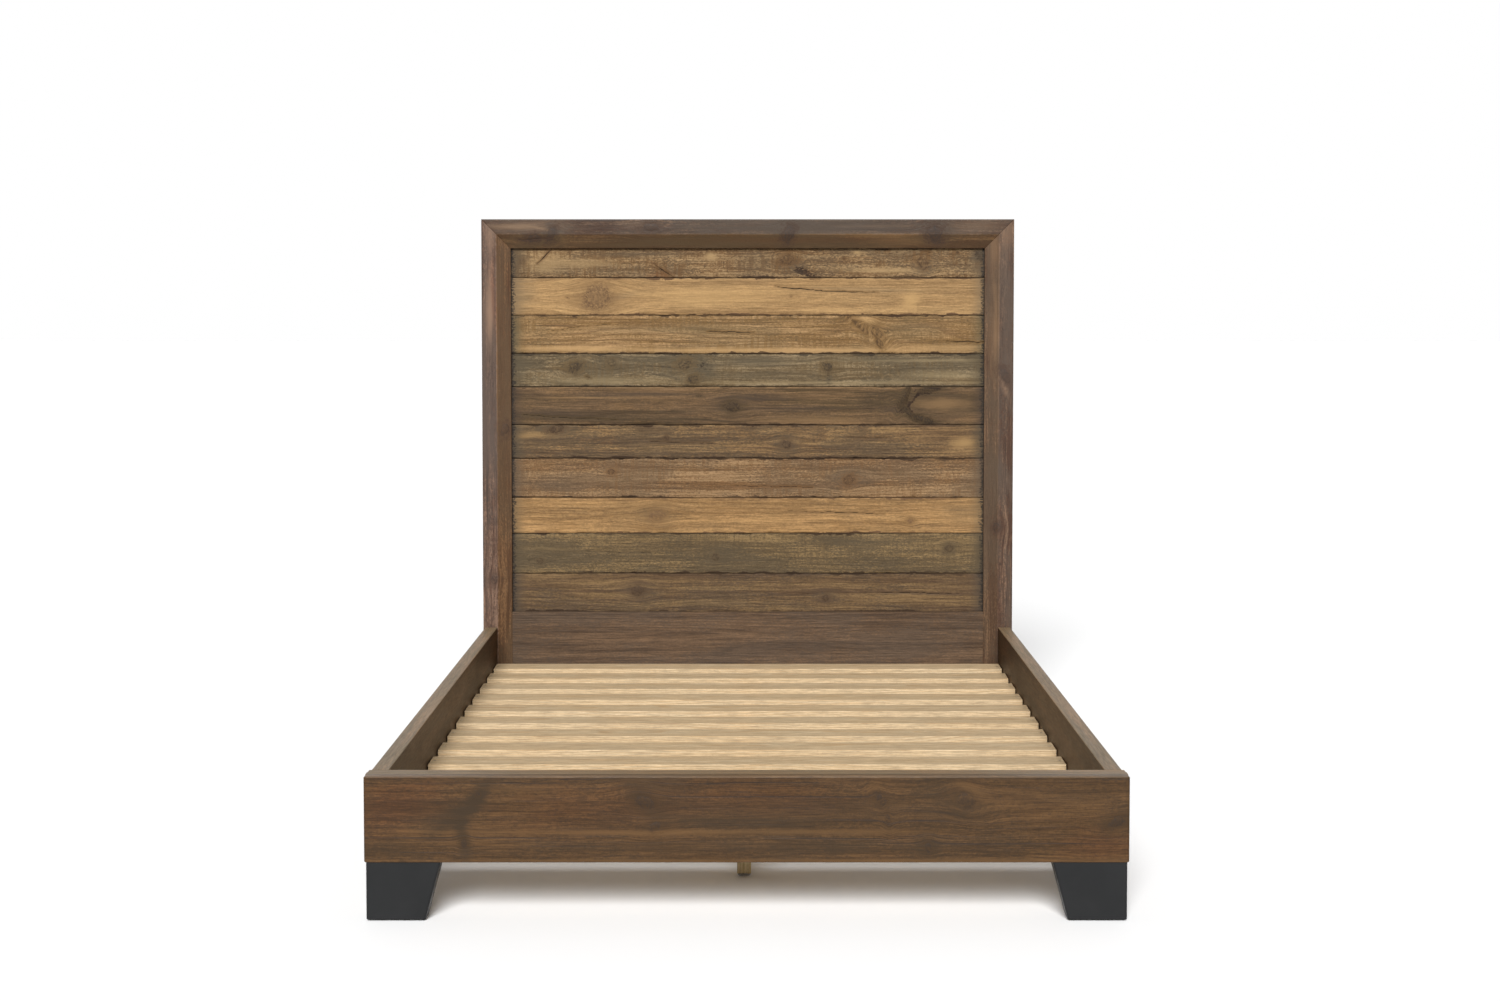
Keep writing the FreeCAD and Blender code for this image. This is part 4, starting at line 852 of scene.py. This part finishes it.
faceLook = {
    "seed": 92, "fine": 0.0028, "coarse": 0.012, "step": 0.0032, "radius": 0.002, "swell": 0.0007,
    "rough": 0.00008, "light": (0.08, 0.04, 0.014), "dark": (0.037, 0.018, 0.005),
    "late": (0.035, 0.016, 0.005), "grey": (0.03, 0.017, 0.007), "knotColour": (0.017, 0.012, 0.01),
    "lateShare": 0.4, "band": 0.55, "streak": 0.35, "line": 0.6, "mottle": 0.35, "greyShare": 0.45,
    "score": 0.15, "ring": 0.0075, "pith": (0, 0.03, -0.08), "edgeDirtAndShade": 0.0, "dirtAndShadeReach": 0.004,
    "endShade": 0.0, "sheenLow": 0.38, "sheenHigh": 0.56, "tintAndHighlight": (3.0, 3.7, 5.8),
    "knots": [(-0.215, 0.7, 0.022, 0.014, -0.5, 0.0006, 0.6),
        (-0.195, 0.42, 0.014, 0.009, 0.3, 0.0004, 0.5), (0.285, 0.73, 0.014, 0.008, -0.9, 0.0004, 0.6),
        (0.465, 0.72, 0.02, 0.014, -0.6, 0.0004, 0.4), (0.787, 0.47, 0.018, 0.01, 0.3, 0.0004, 0.6),
        (-0.57, 0.8, 0.004, 0.003, 0, 0.0003, 0.9), (0.385, 0.18, 0.007, 0.01, 0, 0.0003, 0.6),
        (0.3, 0.5, 0.004, 0.012, 0.1, 0.0003, 0.6), (-0.6, 0.22, 0.006, 0.008, 0, 0.0003, 0.6)],
    "darkStains": [(-0.575, 0.72, 0.06, 0.016, 1.0, 1.0), (-0.625, 0.52, 0.07, 0.022, 0.6, 0.9),
        (-0.6, 0.24, 0.016, 0.05, 0.15, 0.95), (-0.76, 0.18, 0.05, 0.02, 0, 0.5),
        (-0.2, 0.19, 0.35, 0.013, 0, 0.5), (0.15, 0.18, 0.14, 0.016, 0, 0.65),
        (-0.215, 0.72, 0.05, 0.022, -0.7, 0.6), (0.43, 0.72, 0.11, 0.035, -0.35, 0.5),
        (0.385, 0.2, 0.04, 0.03, 0, 0.7), (0.02, 0.48, 0.12, 0.012, 0, 0.5),
        (0.66, 0.78, 0.12, 0.02, 0, 0.35), (0.79, 0.48, 0.05, 0.018, 0.3, 0.7),
        (-0.14, 0.48, 0.1, 0.014, 0.1, 0.5)],
    "paleStains": [(-0.68, 0.36, 0.07, 0.003, 0, 0.8), (-0.28, 0.35, 0.22, 0.006, 0, 0.85),
        (0.14, 0.36, 0.24, 0.006, 0, 0.65), (0.35, 0.02, 0.5, 0.004, 0, 0.7),
        (-0.35, 0.02, 0.3, 0.003, 0, 0.6), (0.48, 0.84, 0.04, 0.008, -0.4, 0.7),
        (-0.5, 0.86, 0.08, 0.008, 0, 0.4)],
    "redStains": [(-0.75, 0.65, 0.1, 0.05, 0.3, 0.55), (-0.35, 0.6, 0.16, 0.05, 0, 0.3),
        (0.0, 0.75, 0.2, 0.04, 0, 0.3), (0.75, 0.2, 0.08, 0.03, 0, 0.4)],
}


def makeFootboardFace():
    low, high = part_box("footboard_front_board")
    v = faceLook
    r = v["radius"]
    corners = [(low.z, -high.y, 0), (low.z, -low.y, r), (high.z, -low.y, r), (high.z, -high.y, 0)]
    outline = roundedOutline(corners, [v["coarse"], v["fine"], v["coarse"], v["coarse"]])
    starts, stops = np.full(len(outline), low.x), np.full(len(outline), high.x)
    # along the top edge the paler, greyer tint is a painted highlight and sheen from the light above
    piece = board("footboard_front_board_face", outline, starts, stops,
                  lambda along, across, depth: np.stack([along, -depth, across], -1),
                  {**v, "tintAndHighlightAt": (high.z - 0.002, high.z - 0.0004)}, "footboard_front_board",
                  endRound=0.002)
    pith = (0, (low.z + high.z) / 2 + v["pith"][1], -low.y + v["pith"][2])
    settings = finishSettings(v, pith)
    piece.data.materials.append(boardMaterial("footboard_face_wood", settings, relief=0.35, specular=0.2))


makeFootboardFace()
print("footboard face made")


# the tint lays a painted highlight and grey sheen on the tops of the rails and the footboard
railColours = {
    "Tint And Highlight": (3.1, 4.1, 7.2), "Light": (0.085, 0.037, 0.01), "Dark": (0.043, 0.02, 0.005),
    "Late Wood": (0.042, 0.018, 0.004), "Grey": (0.046, 0.028, 0.01), "Knot": (0.03, 0.018, 0.012),
    "Late Share": 0.35, "Band Share": 0.6, "Grey Share": 0.4, "Streak Share": 0.5, "Line Share": 0.25,
    "Mottle Share": 0.3, "Score Share": 0.08, "Edge Dirt And Shade": 0.0, "Sheen Low": 0.42, "Sheen High": 0.6,
    "Ring Width": 0.007,
}
rawColours = {
    "Light": (0.5, 0.38, 0.235), "Dark": (0.39, 0.285, 0.165), "Late Wood": (0.36, 0.22, 0.1),
    "Grey": (0.38, 0.31, 0.21), "Knot": (0.16, 0.075, 0.03), "Late Share": 0.5, "Band Share": 0.35,
    "Grey Share": 0.2, "Streak Share": 0.35, "Line Share": 0.12, "Mottle Share": 0.2, "Score Share": 0.12,
    "Edge Dirt And Shade": 0.0, "Sheen Low": 0.6, "Sheen High": 0.75, "Ring Width": 0.0045,
}
backColours = {
    **railColours, "Light": (0.115, 0.068, 0.037), "Dark": (0.05, 0.029, 0.016),
    "Late Wood": (0.045, 0.025, 0.013), "Grey": (0.066, 0.045, 0.03), "Grey Share": 0.5,
}
battenColours = {**rawColours, "Light": (0.46, 0.32, 0.19)}
legColours = {**rawColours, "Light": (0.62, 0.48, 0.27), "Dark": (0.52, 0.4, 0.21),
              "Late Wood": (0.46, 0.33, 0.16)}


def middleOf(name):
    low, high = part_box(name)
    return tuple((low + high) / 2)


# the material is laid out from the middle of one of the boards that share it
def dressBoards(names, label, colours, pith, along, **options):
    centre = middleOf(options.pop("middle", names[0]))
    settings = {**colours, "Pith": pith}
    dress(names, solidMaterial(label, settings, along, centre=centre, **options))


def topOf(name):
    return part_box(name)[1].z


for side in ("left", "right"):
    name = "side_rail_" + side
    dressBoards([name], name + "_wood", railColours, (0, -0.09, 0.02), "Y", specular=0.3,
                paleAbove=topOf(name))
dressBoards(["footboard_back_board", "footboard_top_strip", "footboard_bottom_strip",
             "footboard_end_block_left", "footboard_end_block_right"], "footboard_wood", railColours,
            (0, -0.07, 0.03), "X", specular=0.3, paleAbove=topOf("footboard_back_board"))
dressBoards(["headboard_bottom_rail", "headboard_mitre_splines"], "bottom_rail_wood", backColours,
            (0, -0.08, 0.03), "X")
dressBoards(["headboard_batten_left", "headboard_batten_middle", "headboard_batten_right"],
            "batten_wood", battenColours, (0, 0.01, -0.05), "Z", pitch=(0.5, 0),
            middle="headboard_batten_middle")

slatNames = [n for n in nodes if n.startswith("slat_") and n[5:].isdigit()]
slatPitch = (middleOf("slat_12")[1] - middleOf("slat_01")[1]) / 11
dressBoards(slatNames, "slat_wood", rawColours, (0, 0.015, -0.06), "X", pitch=(slatPitch, 0),
            middle="slat_01")
dressBoards(["centre_beam", "slat_cleat_left", "slat_cleat_right"], "beam_wood", rawColours,
            (0, 0.05, 0.03), "Y")
dressBoards(["centre_leg_1", "centre_leg_2", "centre_leg_3"], "leg_wood", legColours,
            (0, 0.03, 0.04), "Z")

paintValues = {"paint": (0.0080, 0.0084, 0.0088), "faded": (0.018, 0.018, 0.019),
               "worn": (0.03, 0.028, 0.025), "rough": 0.42}
metalValues = {
    "zinc_sheet": {"colour": (0.60, 0.60, 0.61), "rough": 0.38, "grain": 90.0},
    "zinc_screws": {"colour": (0.66, 0.62, 0.50), "rough": 0.32, "grain": 600.0},
    "glide_steel": {"colour": (0.58, 0.58, 0.60), "rough": 0.3, "grain": 300.0}}
nylonValues = {"pale": (0.72, 0.70, 0.65), "dull": (0.64, 0.62, 0.57), "grain": 900.0}


# a material mixed from two colours, with a roughness and a fine relief
def finishPaint(tree, shader, colour, rough, relief, strength, distance):
    tree.links.new(colour, shader.inputs["Base Color"])
    tree.links.new(rough, shader.inputs["Roughness"])
    bumped(tree, relief, shader, strength, distance)


def buildPaint():
    v = paintValues
    material, tree, shader = principledMaterial("charcoal_paint", Specular_IOR_Level=0.22)
    place = tree.nodes.new("ShaderNodeTexCoord").outputs["Object"]
    brush = noise(tree, place, 1.0, (60, 700, 700), 3.0, 0.6)
    cloud = noise(tree, place, 9.0, (1, 1, 1), 3.0, 0.6)
    speck = noise(tree, place, 420.0, (1, 1, 1), 2.0, 0.6)
    worn = maths(tree, "MULTIPLY", remap(tree, speck, 0.66, 0.74), remap(tree, cloud, 0.5, 0.65))
    faded = remap(tree, cloud, 0.3, 0.7, 0.0, 0.25)
    colour = blendColour(tree, faded, v["paint"], v["faded"])
    colour = blendColour(tree, maths(tree, "MULTIPLY", worn, 0.5), colour, v["worn"])
    rough = remap(tree, brush, 0.3, 0.7, v["rough"] - 0.07, v["rough"] + 0.1)
    finishPaint(tree, shader, colour, rough, brush, 0.3, 0.0003)
    return material


def buildMetal(name):
    v = metalValues[name]
    material, tree, shader = principledMaterial(name, Metallic=1.0)
    place = tree.nodes.new("ShaderNodeTexCoord").outputs["Object"]
    spangle = noise(tree, place, v["grain"], (1, 1, 1), 3.0, 0.7)
    shade = tuple(c * 0.7 for c in v["colour"])
    colour = blendColour(tree, remap(tree, spangle, 0.35, 0.65), v["colour"], shade)
    rough = remap(tree, spangle, 0.3, 0.7, v["rough"] - 0.08, v["rough"] + 0.12)
    finishPaint(tree, shader, colour, rough, spangle, 0.15, 0.0002)
    return material


def buildNylon():
    v = nylonValues
    material, tree, shader = principledMaterial("nylon")
    place = tree.nodes.new("ShaderNodeTexCoord").outputs["Object"]
    pits = noise(tree, place, v["grain"], (1, 1, 1), 2.0)
    colour = blendColour(tree, pits, v["pale"], v["dull"])
    finishPaint(tree, shader, colour, remap(tree, pits, 0.3, 0.7, 0.45, 0.6), pits, 0.2, 0.0002)
    return material


feet = [n for n in nodes if n.startswith(("foot_front", "foot_rear"))]
dress(feet, buildPaint())
dress(["beam_hangers", "rail_hook_plates", "rail_slotted_plates"], buildMetal("zinc_sheet"))
dress(["plate_screws", "rail_screws", "slat_screws", "hanger_bolts", "leg_threaded_inserts"],
      buildMetal("zinc_screws"))
dress([n for n in nodes if n.startswith("levelling_glide")], buildMetal("glide_steel"))
dress(["foot_glides"], buildNylon())
print("materials made")

studio = {
    "floor": 0.93, "floorReach": 60.0, "backdrop": 1.0, "room": 0.14, "fill": 0.34,
    "roomEnds": -0.25, "backdropStarts": 0.3, "sunPower": 5.2, "sunTilt": 57.0, "sunTurn": -4.0,
    "sunAngle": 26.0, "cameraSetback": 4.672, "cameraHeight": 1.329, "cameraX": 0.007, "tilt": 2.72,
    "sensor": 36.0, "lens": 53.4, "shiftUp": -0.066,
}


def makeFloor():
    mesh = bpy.data.meshes.new("studio_floor")
    r = studio["floorReach"]
    mesh.from_pydata([(-r, -r, 0), (r, -r, 0), (r, r, 0), (-r, r, 0)], [], [(0, 1, 2, 3)])
    floor = bpy.data.objects.new("studio_floor", mesh)
    bpy.context.scene.collection.objects.link(floor)
    material, tree, shader = principledMaterial("pale_floor", Roughness=0.7, Specular_IOR_Level=0.2)
    shader.inputs["Base Color"].default_value = (*[studio["floor"]] * 3, 1)
    mesh.materials.append(material)


def makeSoftSun():
    # one very large soft light in front of the bed and above it
    lamp = bpy.data.lights.new("soft_sun", "SUN")
    lamp.energy = studio["sunPower"]
    lamp.angle = math.radians(studio["sunAngle"])
    holder = bpy.data.objects.new("soft_sun", lamp)
    bpy.context.scene.collection.objects.link(holder)
    holder.rotation_euler = (math.radians(studio["sunTilt"]), 0, math.radians(studio["sunTurn"]))


def makeWorld():
    # a white backdrop behind the bed, and a dim room on the camera's side
    world = bpy.data.worlds.new("studio_world")
    world.use_nodes = True
    tree = world.node_tree
    way = tree.nodes.new("ShaderNodeTexCoord").outputs["Generated"]
    behind = splitVector(tree, way)[1]
    ends, starts = studio["roomEnds"], studio["backdropStarts"]
    seen = remap(tree, behind, ends, starts, studio["room"], studio["backdrop"])
    cast = remap(tree, behind, ends, starts, studio["room"], studio["fill"])
    isDiffuse = tree.nodes.new("ShaderNodeLightPath").outputs["Is Diffuse Ray"]
    level = maths(tree, "MULTIPLY_ADD", maths(tree, "SUBTRACT", cast, seen), isDiffuse, seen)
    tree.links.new(level, tree.nodes["Background"].inputs["Strength"])
    tree.nodes["Background"].inputs["Color"].default_value = (1, 1, 1, 1)
    bpy.context.scene.world = world


def makeCamera():
    lens = bpy.data.cameras.new("studio_camera")
    lens.sensor_width = studio["sensor"]
    lens.lens = studio["lens"]
    lens.shift_y = studio["shiftUp"]
    holder = bpy.data.objects.new("studio_camera", lens)
    bpy.context.scene.collection.objects.link(holder)
    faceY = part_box("footboard_front_board")[0].y
    holder.location = (studio["cameraX"], faceY - studio["cameraSetback"], studio["cameraHeight"])
    holder.rotation_euler = (math.radians(90 - studio["tilt"]), 0, 0)
    bpy.context.scene.camera = holder
    bpy.context.scene.view_settings.view_transform = "Standard"   # so that the pale floor stays white


makeFloor()
makeSoftSun()
makeWorld()
makeCamera()
print("studio made")

bpy.context.view_layer.update()
